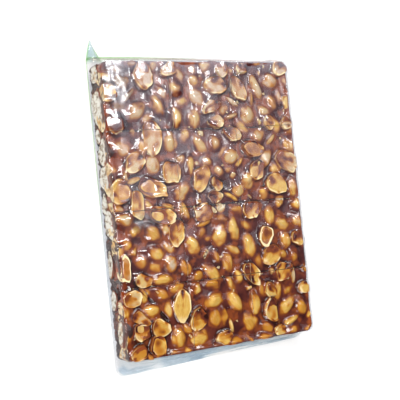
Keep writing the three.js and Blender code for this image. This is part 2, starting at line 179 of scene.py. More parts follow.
def between(ends, share):
    return ends[0] + (ends[1] - ends[0]) * share


def hump(value, width):
    return math.exp(-(value / width) ** 2)


def footprint(nut):     # three circles along the nut
    radius = nut["width"] / 2
    reach = nut["length"] / 2 - radius
    angle = math.radians(nut["turn"])
    return [(nut["x"] + end * reach * math.cos(angle), nut["y"] + end * reach * math.sin(angle), radius)
            for end in (-1, 0, 1)]


def isClear(circles, placed, touch):
    for other in placed:
        for farX, farY, farRadius in other["circles"]:
            for nearX, nearY, nearRadius in circles:
                if math.hypot(nearX - farX, nearY - farY) < touch * (nearRadius + farRadius):
                    return False
    return True


def drawPlace(draw, kind):
    return {
        "x": draw(-halfWidth - packing["overEdge"], halfWidth + packing["overEdge"]),
        "y": draw(-halfLength - packing["overEdge"], halfLength + packing["overEdge"]),
        "turn": draw(0, 180),
        "length": draw(*kind["length"]),
        "width": draw(*kind["width"]),
    }


def dress(nut):     # what sets one nut's finish apart from the next
    nut.setdefault("tone", toneDraw(*dressing["tone"]))
    nut["tone"] += dressing["paintedHeadSheen"] * nut["y"] / halfLength      # paler towards the head: painted sheen, standing in for the film's reflection there
    nut.setdefault("wet", toneDraw(*dressing["wet"]))
    nut["broken"] = toneDraw(0, 1)
    nut["twist"] = Vector([toneDraw(*dressing["twist"]) for axis in range(3)])


def layFaceNuts(draw):
    placed = []
    counts = dict.fromkeys(nutKinds, 0)

    def settle(nut):
        kind = nutKinds[nut["kind"]]
        nut["sink"] = draw(0, kind["sink"])
        nut["roll"] = draw(-kind["lean"], kind["lean"])
        nut["pitch"] = draw(-kind["lean"], kind["lean"])
        nut["height"] = kind["height"]
        nut["top"] = slab["thickness"] - packing["headroom"] - nut["sink"]
        nut["circles"] = footprint(nut)
        dress(nut)
        counts[nut["kind"]] += 1
        placed.append(nut)

    for kind, x, y, turn, length, width, tone, wet in showyNuts:
        settle({"kind": kind, "x": x, "y": y, "turn": turn, "length": length, "width": width,
                "tone": tone, "wet": wet, "showy": True,
                "leaf": y < 0 and length > packing["leafFrom"]})     # one great half, pointed and smooth
    for name, kind in nutKinds.items():
        for attempt in range(kind["tries"]):
            if counts[name] == kind["count"]:
                break
            nut = {"kind": name, "showy": False, "leaf": False, **drawPlace(draw, kind)}
            if isClear(footprint(nut), placed, packing["touch"]):
                settle(nut)
    print("face nuts", counts)
    return placed


def laySideNuts(draw):
    laid = []
    for quarter in range(4):
        along, out = ((slab["length"], halfWidth), (slab["width"], halfLength))[quarter % 2]
        angle = 90 * quarter
        if angle == leftAngle:
            for y, z, length, width, depth, tone, wet in leftNuts:
                nut = {
                    "kind": "side", "flush": True, "x": depth - halfWidth, "y": y, "z": z,
                    "turn": leftAngle / 2, "roll": 0, "pitch": 0,
                    "length": length, "width": width, "height": width, "tone": tone, "wet": wet,
                }
                dress(nut)
                laid.append(nut)
            continue
        turned = math.radians(angle)
        steps = math.floor(along / sideNuts["spacing"])
        for step in range(steps):
            place = (step + 0.5 - steps / 2) * sideNuts["spacing"]
            slide = place + draw(-sideNuts["jitter"], sideNuts["jitter"])
            inset = out - draw(*sideNuts["depth"])
            nut = {
                "kind": "side", "flush": False,
                "x": inset * math.cos(turned) - slide * math.sin(turned),
                "y": inset * math.sin(turned) + slide * math.cos(turned),
                "z": draw(*sideNuts["height"]),
                "turn": angle + draw(*sideNuts["turn"]),
                "roll": draw(*sideNuts["roll"]),
                "pitch": draw(*sideNuts["pitch"]),
                "length": draw(*sideNuts["length"]),
                "width": draw(*sideNuts["width"]),
            }
            nut["height"] = nut["width"]
            dress(nut)
            laid.append(nut)
    print("side nuts", len(laid))
    return laid


layDraw = makeDraw(packing["seed"])
faceNuts = layFaceNuts(layDraw)
cutNuts = laySideNuts(layDraw)


# Nuts a little deeper, which show between and under the others
sunkNuts = {
    "seed": 311, "count": 90, "tries": 4000, "length": (11, 14.5), "width": (7.8, 9.6), "height": 7.0,
    "top": (10.2, 11.4), "roll": (0, 180), "pitch": (-12, 12), "wet": (0.6, 1.0), "touch": 0.6, "apart": 0.8,
}


def laySunkNuts():
    draw = makeDraw(sunkNuts["seed"])
    laid = []
    for attempt in range(sunkNuts["tries"]):
        nut = {"kind": "sunk", "showy": False, **drawPlace(draw, sunkNuts)}
        for name in ("top", "roll", "pitch"):
            nut[name] = draw(*sunkNuts[name])
        circles = footprint(nut)
        clear = isClear(circles, faceNuts, sunkNuts["touch"]) and isClear(circles, laid, sunkNuts["apart"])
        if clear and len(laid) < sunkNuts["count"]:
            nut["circles"] = circles
            nut["height"] = sunkNuts["height"]
            nut["wet"] = toneDraw(*sunkNuts["wet"])
            dress(nut)
            laid.append(nut)
    print("sunk nuts", len(laid))
    return laid


deepNuts = laySunkNuts()


# Nut forms, each a unit shape with its long axis on X
fleshSlot = 1
cutSnap = 1e-5
draftNames = ("rimDraft", "stainDraft", "alongDraft", "acrossDraft")


def nutNoise(nut, place):     # uneven in its own way on each nut
    return noise.noise(place + nut["twist"])


def draftLayers(bm):
    return [bm.verts.layers.float.new(name) for name in draftNames]


kernel = {
    "segments": (28, 14), "sideSegments": (44, 26),
    "girth": 0.97, "lump": 0.22, "lumpSize": 0.8, "taper": 0.12, "plump": 1.12,
    "suture": 0.07, "sutureWidth": 0.2, "sutureSway": 2.4, "sutureStain": 0.3,
    "nib": 0.08, "nibFrom": 0.85, "nibLength": 0.15, "tipStain": 0.25, "tipFrom": (0.6, 1.0),
}


def kernelForm(nut):
    around, rings = kernel["sideSegments" if nut["kind"] == "side" else "segments"]
    bm = bmesh.new()
    bmesh.ops.create_uvsphere(bm, u_segments=around, v_segments=rings, radius=1)
    bmesh.ops.rotate(bm, verts=bm.verts, cent=(0, 0, 0), matrix=Matrix.Rotation(math.pi / 2, 3, "Y"))
    rim, stain, along, across = draftLayers(bm)
    sutureAt = (nut["broken"] - 0.5) * kernel["sutureSway"]
    plump = 1 if nut["kind"] == "sliver" else kernel["plump"]
    for vert in bm.verts:
        x, y, z = vert.co
        swell = kernel["girth"] + kernel["lump"] * nutNoise(nut, vert.co / kernel["lumpSize"])
        angle = math.atan2(y, z)
        crease = hump(angle - sutureAt, kernel["sutureWidth"]) * (1 - x * x)
        girth = (swell - kernel["suture"] * crease) * (1 - kernel["taper"] * x)
        nib = kernel["nib"] * max(0, (x - kernel["nibFrom"]) / kernel["nibLength"]) ** 2
        vert[along] = x
        vert[across] = angle
        vert[stain] = kernel["sutureStain"] * crease + kernel["tipStain"] * smoothStep(*kernel["tipFrom"], x)
        vert.co = (plump * (x * swell + nib), plump * y * girth, z * min(girth, 1))
    return bm


half = {
    "segments": (40, 22), "girth": 0.97, "lump": 0.07, "lumpSize": 0.8, "ragged": 0.06, "raggedSize": 0.3,
    "taper": 0.12, "point": 0.1, "blunt": 2.4, "leafBlunt": 1.7, "faceFrom": 0.01, "deepen": 2,
    "chords": 3, "chordAt": (0.7, 1.05), "seedScale": 1000,     # edges broken off straight
    "dish": (-0.05, 0.25), "dishReach": 0.94, "lip": 0.03, "lipAt": 0.95, "lipWidth": 0.05,
    "grain": 0.02, "grainAlong": 2, "grainAcross": 5, "grainStain": 0.1,
    "seam": 0.05, "seamWidth": 0.12, "seamMost": 0.4, "seamStain": 0.1, "seamStainWidth": 0.07,
    "notch": 0.3, "notchAt": 0.8, "notchLength": 0.28, "notchWidth": 0.06, "notchFlare": 0.25,
    "flareFrom": 0.2, "notchStain": 0.9,
    "germ": (0.15, 1.0), "germFrom": (0.6, 0.85), "leafGerm": 1.2,
    "brown": (0.38, 0.88), "leafBrown": 0.05, "brownOver": (-0.5, 0.9),
    "blot": 2, "blotScale": 1.6, "blotLift": 9,
    "rimAt": 0.88, "rimWidth": 0.1, "rimMost": 0.85, "rimGrain": 0.08,
    "waver": 0.12, "waverScale": 0.8, "waverLift": 3,
    "tip": 0.8, "tipFrom": (0.3, 0.5), "tipAt": -0.55, "tipEnd": -0.8, "tipGrain": 0.2,
    "chipRim": 0.8, "chipFrom": (0.98, 0.9), "chipReach": (0.8, 0.92),
    "ringedWet": 0.93, "ringedTone": 0.8, "ringAt": (0.64, 0.76), "ringWaver": 0.1, "ringStain": (0.35, -0.6),
    "underRim": 0.6, "underFrom": -0.2,
}


def halfForm(nut):
    around, rings = half["segments"]
    bm = bmesh.new()
    bmesh.ops.create_uvsphere(bm, u_segments=around, v_segments=rings, radius=1)
    rim, stain, along, across = draftLayers(bm)
    shareX, shareY, shareZ = (value % 1 for value in nut["twist"])
    dish = between(half["dish"], nut["wet"])
    germ = half["leafGerm"] if nut["leaf"] else between(half["germ"], smoothStep(*half["germFrom"], shareZ))
    brown = half["leafBrown"] if nut["leaf"] else between(half["brown"], shareX)
    lean = 2 * shareY - 1
    tip = half["tip"] * smoothStep(*half["tipFrom"], shareY)
    draw = makeDraw(1 + int(nut["twist"].y * half["seedScale"]))
    chords = [(draw(-math.pi, math.pi), draw(*half["chordAt"])) for step in range(half["chords"])]
    chords = [] if nut["leaf"] else chords
    blunt = half["leafBlunt" if nut["leaf"] else "blunt"]
    ringed = nut["showy"] and nut["wet"] > half["ringedWet"] and nut["tone"] > half["ringedTone"]
    for vert in bm.verts:
        x, y, z = vert.co
        vert[along] = x
        vert[across] = y
        reach = math.hypot(x, y)
        turn = math.atan2(y, x)
        flat = Vector((x, y, 0))
        wobble = half["girth"] + half["lump"] * nutNoise(nut, flat / half["lumpSize"])
        wobble += half["ragged"] * nutNoise(nut, flat / half["raggedSize"])
        chipped = 1
        if reach > 0:
            wobble *= (abs(x / reach) ** blunt + abs(y / reach) ** blunt) ** (-1 / blunt)
            for side, gap in chords:
                chipped = min(chipped, gap / max(math.cos(turn - side), gap))
            wobble *= chipped
        if z > half["faceFrom"]:
            grain = nutNoise(nut, Vector((x * half["grainAlong"], y * half["grainAcross"], 0)))
            blot = nutNoise(nut, Vector((x * half["blotScale"], y * half["blotScale"], half["blotLift"])))
            waver = nutNoise(nut, Vector((turn * half["waverScale"], half["waverLift"], 0)))
            bow = 1 - x * x
            width = half["notchWidth"] + half["notchFlare"] * max(x - half["flareFrom"], 0)
            wedge = math.exp(-((x - half["notchAt"]) / half["notchLength"]) ** 2 - (y / width) ** 2)
            z = -dish * (1 - min(reach / half["dishReach"], 1) ** 2)
            z -= half["seam"] * min(germ, half["seamMost"]) * hump(y, half["seamWidth"]) * bow
            z -= half["notch"] * germ * wedge
            z += half["lip"] * hump(reach - half["lipAt"], half["lipWidth"])
            z += half["grain"] * grain
            streak = half["seamStain"] * hump(y, half["seamStainWidth"]) * bow
            toast = half["blot"] * max(0, blot) + smoothStep(*half["brownOver"], x + lean * y)
            vert[stain] = germ * (half["notchStain"] * wedge + streak)
            vert[stain] += brown * toast + half["grainStain"] * grain
            edge = reach - half["rimAt"] + half["waver"] * waver + half["rimGrain"] * grain
            pale = min(max(edge / half["rimWidth"], 0), half["rimMost"])
            tipped = smoothStep(half["tipAt"] + half["tipGrain"] * grain, half["tipEnd"], x)
            snapped = smoothStep(*half["chipFrom"], chipped) * smoothStep(*half["chipReach"], reach)
            vert[rim] = max(pale, tip * tipped, half["chipRim"] * snapped)
            if ringed:     # a pale rim round a pool of caramel
                vert[rim] = smoothStep(*half["ringAt"], reach + half["ringWaver"] * waver)
                vert[stain] = between(half["ringStain"], vert[rim])
        else:
            z *= half["deepen"]
            vert[rim] = half["underRim"] if z > half["underFrom"] else 0
        narrow = 1 + half["taper"] * x - half["point"] * max(-x, 0) ** 3
        vert.co = (x * wobble, y * wobble * narrow, z)
    return bm


chip = {"lump": 0.12, "rim": 0.3, "faces": 6, "lowest": -0.5, "cutAt": (0.25, 0.6), "seedScale": 1000}


def chipForm(nut):
    bm = bmesh.new()
    bmesh.ops.create_icosphere(bm, subdivisions=3, radius=1)
    rim, stain, along, across = draftLayers(bm)
    for vert in bm.verts:
        vert[along] = vert.co.x
        vert[across] = vert.co.y
        vert.co *= 1 + chip["lump"] * nutNoise(nut, vert.co)
        vert[rim] = chip["rim"]
    draw = makeDraw(1 + int(nut["twist"].x * chip["seedScale"]))
    for face in range(chip["faces"]):
        normal = Vector((draw(-1, 1), draw(-1, 1), draw(chip["lowest"], 1))).normalized()
        cutAway(bm, normal * draw(*chip["cutAt"]), normal)
    return bm


def cutAway(bm, point, normal):     # drop what lies past a plane, close the cut and mark it as flesh
    parts = bm.verts[:] + bm.edges[:] + bm.faces[:]
    cut = bmesh.ops.bisect_plane(
        bm, geom=parts, dist=cutSnap, plane_co=point, plane_no=normal, clear_outer=True)
    rim = [item for item in cut["geom_cut"] if isinstance(item, bmesh.types.BMEdge)]
    if not rim:
        return
    for face in bmesh.ops.holes_fill(bm, edges=rim, sides=0)["faces"]:
        face.material_index = fleshSlot
        face.smooth = False
    for edge in rim:
        edge.smooth = False


breaks = {
    "share": 0.5, "at": (0.1, 0.65), "shardAt": (0.45, 0.8), "sway": 40, "nod": 23, "nodShare": 0.5,
    "cornerFrom": 0.4, "cornerBack": -0.6, "cornerUp": 0.3, "cornerAt": 0.55,
}


def breakEnd(bm, nut):     # shards and some kernels lost an end, or a corner too
    isShard = nut["kind"] == "shard"
    spare = nut["broken"] if isShard else (nut["broken"] - breaks["share"]) / (1 - breaks["share"])
    if spare <= 0 or nut["showy"] and not isShard:
        return
    sway = breaks["sway"] * spare
    slant = Vector((1, math.sin(sway), breaks["nodShare"] * math.sin(breaks["nod"] * spare))).normalized()
    cutAway(bm, slant * between(breaks["shardAt" if isShard else "at"], spare), slant)
    if spare > breaks["cornerFrom"]:
        slant = Vector((breaks["cornerBack"], math.cos(sway), breaks["cornerUp"])).normalized()
        cutAway(bm, slant * breaks["cornerAt"], slant)


def placeNut(bm, nut, z):
    matrix = Matrix.Translation((nut["x"], nut["y"], z))
    matrix = matrix @ Matrix.Rotation(math.radians(nut["turn"]), 4, "Z")
    matrix = matrix @ Matrix.Rotation(math.radians(nut["pitch"]), 4, "Y")
    matrix = matrix @ Matrix.Rotation(math.radians(nut["roll"]), 4, "X")
    matrix = matrix @ Matrix.Diagonal((nut["length"] / 2, nut["width"] / 2, nut["height"] / 2, 1))
    bmesh.ops.transform(bm, matrix=matrix, verts=bm.verts)


trims = {
    "slack": (0.02, 0.62), "tilt": (-0.15, 0.15), "middle": 7, "inside": 0.01, "insideSlack": 0.02,
    "headMargin": 0.02, "overHead": 0.1, "footMargin": 0.04, "footSlack": 0.2, "scoreSway": 0.1,
}
chamfer = slab["corner"] * (math.sqrt(2) - 1)


def trimToSlab(bm, nut):     # a nut ends at the slab's cut side, no two quite at the same depth
    slack = between(trims["slack"], nut["twist"].y % 1)
    tilt = between(trims["tilt"], nut["twist"].z % 1)
    for sign in (-1, 1):
        sideX = Vector((sign * (halfWidth - slack), nut["y"], trims["middle"]))
        sideY = Vector((nut["x"], sign * (halfLength - slack), trims["middle"]))
        cutAway(bm, sideX, Vector((sign, tilt, tilt)))
        cutAway(bm, sideY, Vector((tilt, sign, tilt)))
        for other in (-1, 1):
            slant = Vector((sign, other, 0)).normalized()
            corner = Vector((sign * halfWidth, other * halfLength, 0))
            cutAway(bm, corner - slant * (chamfer + slack), slant)
    for x, y, out in ((-1, 0, halfWidth), (1, 0, halfWidth), (0, -1, halfLength), (0, 1, halfLength)):
        side = Vector((x, y, 0))
        cutAway(bm, side * (out - trims["inside"] - trims["insideSlack"] * slack), side)
    top = slab["thickness"] - packing["headroom"] + trims["headMargin"]
    for vert in bm.verts:     # rolled flat with the face
        vert.co.z = min(vert.co.z, top + trims["overHead"] * (vert.co.z - top))
    foot = trims["footMargin"] + trims["footSlack"] * slack
    cutAway(bm, Vector((0, 0, foot)), Vector((0, 0, -1)))


shear = {
    "slack": 0.06, "flushSlack": 0.1, "looseSlack": 0.9, "tiltAlong": (-0.12, 0.12), "tiltUp": (-0.15, 0.15),
    "least": 0.05, "skin": 0.02, "pit": 0.7, "pitSize": 1.1, "grit": 0.15, "gritSize": 0.6,
    "pitFrom": (0, 0.5), "fleshFrom": (0, 0.25),
    "over": 0.95, "overFrom": (7.6, 8.8), "overWaver": 1.5, "overSize": 2,     # caramel runs over the rim
}


def pressToSide(bm, nut):     # at a cut side the nut is sheared off, with a rough and pitted face
    cut = bm.verts.layers.float["rimDraft"]
    shareX, shareY, shareZ = (value % 1 for value in nut["twist"])
    slack = shear["slack"] + shear["flushSlack" if nut["flush"] else "looseSlack"] * shareY
    tiltAlong = between(shear["tiltAlong"], shareZ)
    tiltUp = between(shear["tiltUp"], shareX)
    for vert in bm.verts:
        pit = shear["pit"] * max(0, nutNoise(nut, vert.co / shear["pitSize"]))
        pit += shear["grit"] * noise.noise(vert.co / shear["gritSize"])
        pit = max(pit, shear["skin"] - slack)
        rise = tiltUp * (vert.co.z - nut["z"])
        for axis, out, middle in ((0, halfWidth, nut["y"]), (1, halfLength, nut["x"])):
            slope = tiltAlong * (vert.co[1 - axis] - middle) + rise
            edge = out - slack - min(slope, slack - shear["least"])
            past = abs(vert.co[axis]) - edge
            if past > 0:
                vert.co[axis] = math.copysign(edge - pit * smoothStep(*shear["pitFrom"], past), vert.co[axis])
                vert[cut] = max(vert[cut], smoothStep(*shear["fleshFrom"], past))
        past = abs(vert.co.x) + abs(vert.co.y) - (halfWidth + halfLength - chamfer * math.sqrt(2) - slack)
        if past > 0:
            vert.co.x -= math.copysign(past / 2, vert.co.x)
            vert.co.y -= math.copysign(past / 2, vert.co.y)
        vert.co.z = max(vert.co.z, trims["footMargin"] + trims["footSlack"] * slack)
        if nut["flush"]:
            height = vert.co.z + shear["overWaver"] * noise.noise(vert.co / shear["overSize"])
            vert[cut] *= 1 - shear["over"] * smoothStep(*shear["overFrom"], height)


def scoreNut(bm, nut):     # a knife line opens upwards and leaves two parts
    root = slab["thickness"] - slab["cutDepth"]
    slope = slab["cutMouth"] / 2 / slab["cutDepth"]
    shift = trims["scoreSway"] * (nut["twist"].x % 1)
    lines = [("x", place) for place in slab["columnCuts"]] + [("y", place) for place in slab["rowCuts"]]
    parts = [bm]
    for axis, place in lines:
        if abs(nut[axis] - place) > nut["length"] / 2:
            continue
        across = Vector((axis == "x", axis == "y", 0))
        point = across * (place + shift) + Vector((0, 0, root))
        halves = []
        for part in parts:
            other = part.copy()
            cutAway(part, point, across + Vector((0, 0, slope)))
            cutAway(other, point, Vector((0, 0, slope)) - across)
            halves += [part, other]
        parts = halves
    return [part for part in parts if len(part.verts) > 3]


formOf = {
    "whole": kernelForm, "split": halfForm, "shard": halfForm, "sliver": kernelForm, "chip": chipForm,
    "sunk": kernelForm, "side": kernelForm,
}


def makeNut(nut):
    bm = formOf[nut["kind"]](nut)
    for face in bm.faces:
        face.smooth = nut["kind"] != "chip"
    if nut["kind"] in ("whole", "split", "shard", "sunk"):
        breakEnd(bm, nut)
    if nut["kind"] == "side":
        placeNut(bm, nut, nut["z"])
        pressToSide(bm, nut)
        return [(bm, nut)]
    placeNut(bm, nut, nut["top"] if formOf[nut["kind"]] is halfForm else nut["top"] - nut["height"] / 2)
    trimToSlab(bm, nut)
    return [(part, nut) for part in scoreNut(bm, nut)]


nutParts = [part for nut in faceNuts + deepNuts for part in makeNut(nut)]
sideParts = [part for nut in cutNuts for part in makeNut(nut)]
allParts = nutParts + sideParts
print("nut parts", len(nutParts), "and", len(sideParts), "at the sides")


# Caramel surface: a height for every half millimetre of the face
relief = {
    "columns": 240, "rows": 320, "lastCell": 0.001, "castFrom": 30,
    "level": 10.4,
    "wave": 0.8, "waveSize": 11.0, "waveLift": 3.0,
    "ripple": 0.06, "rippleSize": 2.6, "rippleLift": 9.0,
    "rimRise": 1.5, "rimWidth": 2.4,    # caramel stands higher along the cut edges
    "blend": 1.8,                       # how widely caramel runs up a nut
    "noNut": 9, "settle": 2,
    "scoreHalf": 0.55, "scoreDepth": 1.3, "columnShare": 0.25, "scoreWaver": 0.3, "scoreWaverSize": 11.0,
    "shoulderHalf": 2.0, "shoulderDepth": 0.3,
    "edgeRound": 1.4, "edgeDrop": 0.25, "leftRound": 3.0, "leftDrop": 1.4,
    "hollows": ((-45.0, 15.0, 6.0, 2.6), (8.0, 9.5, 3.6, 2.6)), "hollowDepth": 1.0,     # x, y, width, length
    "mounds": ((-49.5, 43.5, 7.0, 7.5),), "moundHeight": 1.9,
    "crackFrom": (-49.0, -37.0), "crackTo": (-33.0, -58.0), "crackHalf": 0.8, "crackDepth": 1.4,
    "pool": 0.1, "poolDry": 0.5, "poolFrom": 0.55, "deepest": 3,
}
steeping = {
    "drop": 0.28, "flank": 0.95, "flankWet": (0.7, 1.3), "flankMost": 1.1, "ragged": 0.36, "raggedSize": 2.8,
    "depth": 0.12, "wet": 0.35, "patch": 0.4, "patchSize": 3.0,
    "open": 1.25, "openTone": 0.5, "soften": 2, "toneSoften": 2,
    "side": 0.5, "sideWet": 0.6, "inward": 0.3, "inwardFrom": 0.6, "over": 1.0, "overFrom": (7.4, 9.6),
    # pit and outline darken the caramel in low spots and round raised edges: painted shade
    "pit": 0.6, "shadeSpread": 12, "pitRange": (-0.3, 1.2),
    "outline": 0.5, "edgeShadeSpread": 3, "edgeShadeMost": 0.4,
    # crack and hollow darken the caramel in those dents: painted shade
    "crack": 1.2, "hollow": 0.8, "mound": 0.7, "waterline": 0.6, "waterDepth": 0.15,
}
standing = {     # how far each kind stands out of the caramel, dry and wet
    "whole": (0.35, -0.3), "split": (0.6, 0.1), "shard": (0.8, 0.3), "sliver": (0.6, 0.2), "chip": (0.8, 0.4),
    "sunk": (0.2, -0.35), "side": (0.3, 0.0),
}
columns, rows = relief["columns"], relief["rows"]
gridX, gridY = np.meshgrid(
    np.linspace(-halfWidth, halfWidth, columns + 1),
    np.linspace(-halfLength, halfLength, rows + 1),
    indexing="ij",
)
cellX = slab["width"] / columns
cellY = slab["length"] / rows


def noiseOver(size, lift):
    values = [noise.noise(Vector((x / size, y / size, lift))) for x, y in zip(gridX.flat, gridY.flat)]
    return np.array(values).reshape(gridX.shape)


def blurred(field, times):
    for _ in range(times):
        padded = np.pad(field, 1, mode="edge")
        field = (padded[:-2, 1:-1] + 2 * padded[1:-1, 1:-1] + padded[2:, 1:-1]) / 4
        padded = np.pad(field, 1, mode="edge")
        field = (padded[1:-1, :-2] + 2 * padded[1:-1, 1:-1] + padded[1:-1, 2:]) / 4
    return field


def spreadMost(field):     # each point takes the highest of its neighbours
    padded = np.pad(field, 1, mode="edge")
    nearby = [padded[i:i + field.shape[0], j:j + field.shape[1]] for i in range(3) for j in range(3)]
    return np.max(nearby, axis=0)


def softMax(first, second, reach):
    share = np.clip(1 - np.abs(first - second) / reach, 0, 1)
    return np.maximum(first, second) + share ** 2 * reach / 4


def strokeGap(start, end):     # distance of each point from a straight stroke
    run = (end[0] - start[0], end[1] - start[1])
    share = ((gridX - start[0]) * run[0] + (gridY - start[1]) * run[1]) / (run[0] ** 2 + run[1] ** 2)
    share = np.clip(share, 0, 1)
    return np.hypot(gridX - start[0] - share * run[0], gridY - start[1] - share * run[1])


def groove(gap, half, depth):
    return depth * np.clip(1 - gap / half, 0, 1)


def spotShare(x, y, spots):     # soft spots, each with its x, y, width and length
    return sum(np.exp(-((x - spotX) / width) ** 2 - ((y - spotY) / length) ** 2)
               for spotX, spotY, width, length in spots)


def castRoof():     # the highest nut surface over each point, and whose it is
    roof = np.full(gridX.shape, -1.0)
    owner = np.full(gridX.shape, -1)
    down = Vector((0, 0, -1))
    for index, (bm, nut) in enumerate(allParts):
        tree = BVHTree.FromBMesh(bm)
        xs = [(vert.co.x + halfWidth) / cellX for vert in bm.verts]
        ys = [(vert.co.y + halfLength) / cellY for vert in bm.verts]
        for i in range(max(math.ceil(min(xs)), 0), min(math.floor(max(xs)), columns) + 1):
            for j in range(max(math.ceil(min(ys)), 0), min(math.floor(max(ys)), rows) + 1):
                hit = tree.ray_cast(Vector((gridX[i, j], gridY[i, j], relief["castFrom"])), down)[0]
                if hit and hit.z > roof[i, j]:
                    roof[i, j] = hit.z
                    owner[i, j] = index
    return roof, owner


def standOf(nut):
    return between(standing[nut["kind"]], nut["wet"])


def crestOf(bm):
    return max(vert.co.z for vert in bm.verts)


def nutAxes(nut, x, y):     # place along and across a nut, from its middle
    turn = math.radians(nut["turn"])
    along = (x - nut["x"]) * math.cos(turn) + (y - nut["y"]) * math.sin(turn)
    across = (y - nut["y"]) * math.cos(turn) - (x - nut["x"]) * math.sin(turn)
    return along, across


def reachOf(nut, place):     # 0 at a nut's middle, 1 at its outline
    along, across = nutAxes(nut, place.x, place.y)
    return math.hypot(2 * along / nut["length"], 2 * across / nut["width"])


def sideSteep(nut, place):     # at a cut side the caramel thickens inwards
    toEdge = min(halfWidth - abs(place.x), halfLength - abs(place.y))
    steep = steeping["side"] + steeping["sideWet"] * nut["wet"]
    steep += steeping["inward"] * max(0, toEdge - steeping["inwardFrom"])
    return steep + nut["flush"] * steeping["over"] * smoothStep(*steeping["overFrom"], place.z)


def steepOf(nut, drop, depth, place):     # from 0, bare nut, to 1, nothing but caramel
    under = steeping["depth"] * depth + steeping["patch"] * nutNoise(nut, place / steeping["patchSize"])
    if nut["kind"] == "side":
        return sideSteep(nut, place) + under
    flank = steeping["drop"] * drop
    if nut["kind"] in ("whole", "sunk"):
        ragged = steeping["ragged"] * nutNoise(nut, place / steeping["raggedSize"])
        reach = min(max(reachOf(nut, place) + ragged, 0), steeping["flankMost"])
        flank = steeping["flank"] * between(steeping["flankWet"], nut["wet"]) * reach ** 2
    return flank + steeping["wet"] * nut["wet"] ** 2 + under


def poolOf(nut):     # wet halves hold caramel in their dish
    if nut["kind"] == "split" and nut["wet"] > relief["poolFrom"]:
        return nut["top"] - relief["pool"] - relief["poolDry"] * (1 - nut["wet"])
    return -1


def pourCaramel():
    level = relief["level"] + relief["wave"] * noiseOver(relief["waveSize"], relief["waveLift"])
    level += relief["ripple"] * noiseOver(relief["rippleSize"], relief["rippleLift"])
    toEdge = np.minimum(halfWidth - np.abs(gridX), halfLength - np.abs(gridY))
    level += relief["rimRise"] * np.exp(-(toEdge / relief["rimWidth"]) ** 2)
    mound = spotShare(gridX, gridY, relief["mounds"])
    level += relief["moundHeight"] * mound
    roof, owner = castRoof()
    stand = np.array([standOf(nut) for bm, nut in allParts] + [0])[owner]
    pool = np.array([poolOf(nut) for bm, nut in allParts] + [-1])[owner]
    tone = np.array([nut["tone"] for bm, nut in allParts] + [steeping["openTone"]])[owner]
    held = np.where(owner < 0, level - relief["noNut"], roof - stand)
    coat = softMax(level, held, relief["blend"])
    coat = np.where(roof < pool, np.maximum(coat, pool), coat)
    coat = blurred(coat, relief["settle"])
    cuts = [(gridX, place, relief["columnShare"]) for place in slab["columnCuts"]]
    cuts += [(gridY, place, 1) for place in slab["rowCuts"]]
    for axis, place, share in cuts:
        gap = np.abs(axis - place + relief["scoreWaver"] * noiseOver(relief["scoreWaverSize"], place))
        coat -= groove(gap, relief["scoreHalf"], relief["scoreDepth"] * share)
        coat -= groove(gap, relief["shoulderHalf"], relief["shoulderDepth"] * share)
    crack = strokeGap(relief["crackFrom"], relief["crackTo"])
    coat -= groove(crack, relief["crackHalf"], relief["crackDepth"])
    hollow = spotShare(gridX, gridY, relief["hollows"])
    coat -= relief["hollowDepth"] * hollow
    coat -= relief["edgeDrop"] * np.clip(1 - toEdge / relief["edgeRound"], 0, 1) ** 2
    coat -= relief["leftDrop"] * np.clip(1 - (gridX + halfWidth) / relief["leftRound"], 0, 1) ** 2
    steep = np.full(coat.shape, steeping["open"])
    crests = [crestOf(bm) for bm, nut in allParts]
    for i, j in zip(*np.nonzero(owner >= 0)):
        nut = allParts[owner[i, j]][1]
        drop = crests[owner[i, j]] - roof[i, j]
        place = Vector((gridX[i, j], gridY[i, j], roof[i, j]))
        steep[i, j] = min(steepOf(nut, drop, max(coat[i, j] - roof[i, j], 0), place), steeping["open"])
    deepest = relief["deepest"]
    depth = np.where(owner < 0, deepest, np.clip(coat - roof, 0, deepest))
    surface = np.maximum(roof, coat)
    # painted shade: darker where the surface lies below its blurred surroundings and round standing edges
    pit = np.clip(blurred(surface, steeping["shadeSpread"]) - surface, *steeping["pitRange"])
    outline = np.clip(blurred(surface, steeping["edgeShadeSpread"]) - surface, 0, steeping["edgeShadeMost"])
    steep = blurred(steep, steeping["soften"]) + steeping["pit"] * pit + steeping["outline"] * outline
    # painted shade along the crack's groove and in the hollows
    steep += groove(crack, 2 * relief["crackHalf"], steeping["crack"])
    steep += steeping["hollow"] * hollow + steeping["mound"] * mound
    return coat, depth, steep, blurred(tone, steeping["toneSoften"]), surface, owner


coatHeight, coatDepth, coatSteep, coatTone, surfaceHeight, coatOwner = pourCaramel()
print("caramel from", round(coatHeight.min(), 2), "to", round(coatHeight.max(), 2), "mm")


def fieldAt(field, x, y):     # a field's value between its grid points
    column = min(max((x + halfWidth) / cellX, 0), columns - relief["lastCell"])
    row = min(max((y + halfLength) / cellY, 0), rows - relief["lastCell"])
    i, j = int(column), int(row)
    s, t = column - i, row - j
    near = field[i, j] * (1 - s) + field[i + 1, j] * s
    far = field[i, j + 1] * (1 - s) + field[i + 1, j + 1] * s
    return near * (1 - t) + far * t


# Materials
def newMaterial(name):
    material = bpy.data.materials.new(name)
    material.use_nodes = True
    tree = material.node_tree
    return material, tree, tree.nodes["Principled BSDF"]


def objectPlace(tree):
    return tree.nodes.new("ShaderNodeTexCoord").outputs["Object"]


def addNoise(tree, place, scale, detail, rough=0.55):
    texture = tree.nodes.new("ShaderNodeTexNoise")
    for name, number in (("Scale", scale), ("Detail", detail), ("Roughness", rough)):
        texture.inputs[name].default_value = number
    tree.links.new(place, texture.inputs["Vector"])
    return texture.outputs["Fac"]


def addRamp(tree, value, stops):
    ramp = tree.nodes.new("ShaderNodeValToRGB")
    while len(ramp.color_ramp.elements) < len(stops):
        ramp.color_ramp.elements.new(0.5)
    for element, (place, name) in zip(ramp.color_ramp.elements, stops):
        element.position = place
        element.color = (*nutLook[name], 1)
    tree.links.new(value, ramp.inputs["Fac"])
    return ramp.outputs["Color"]


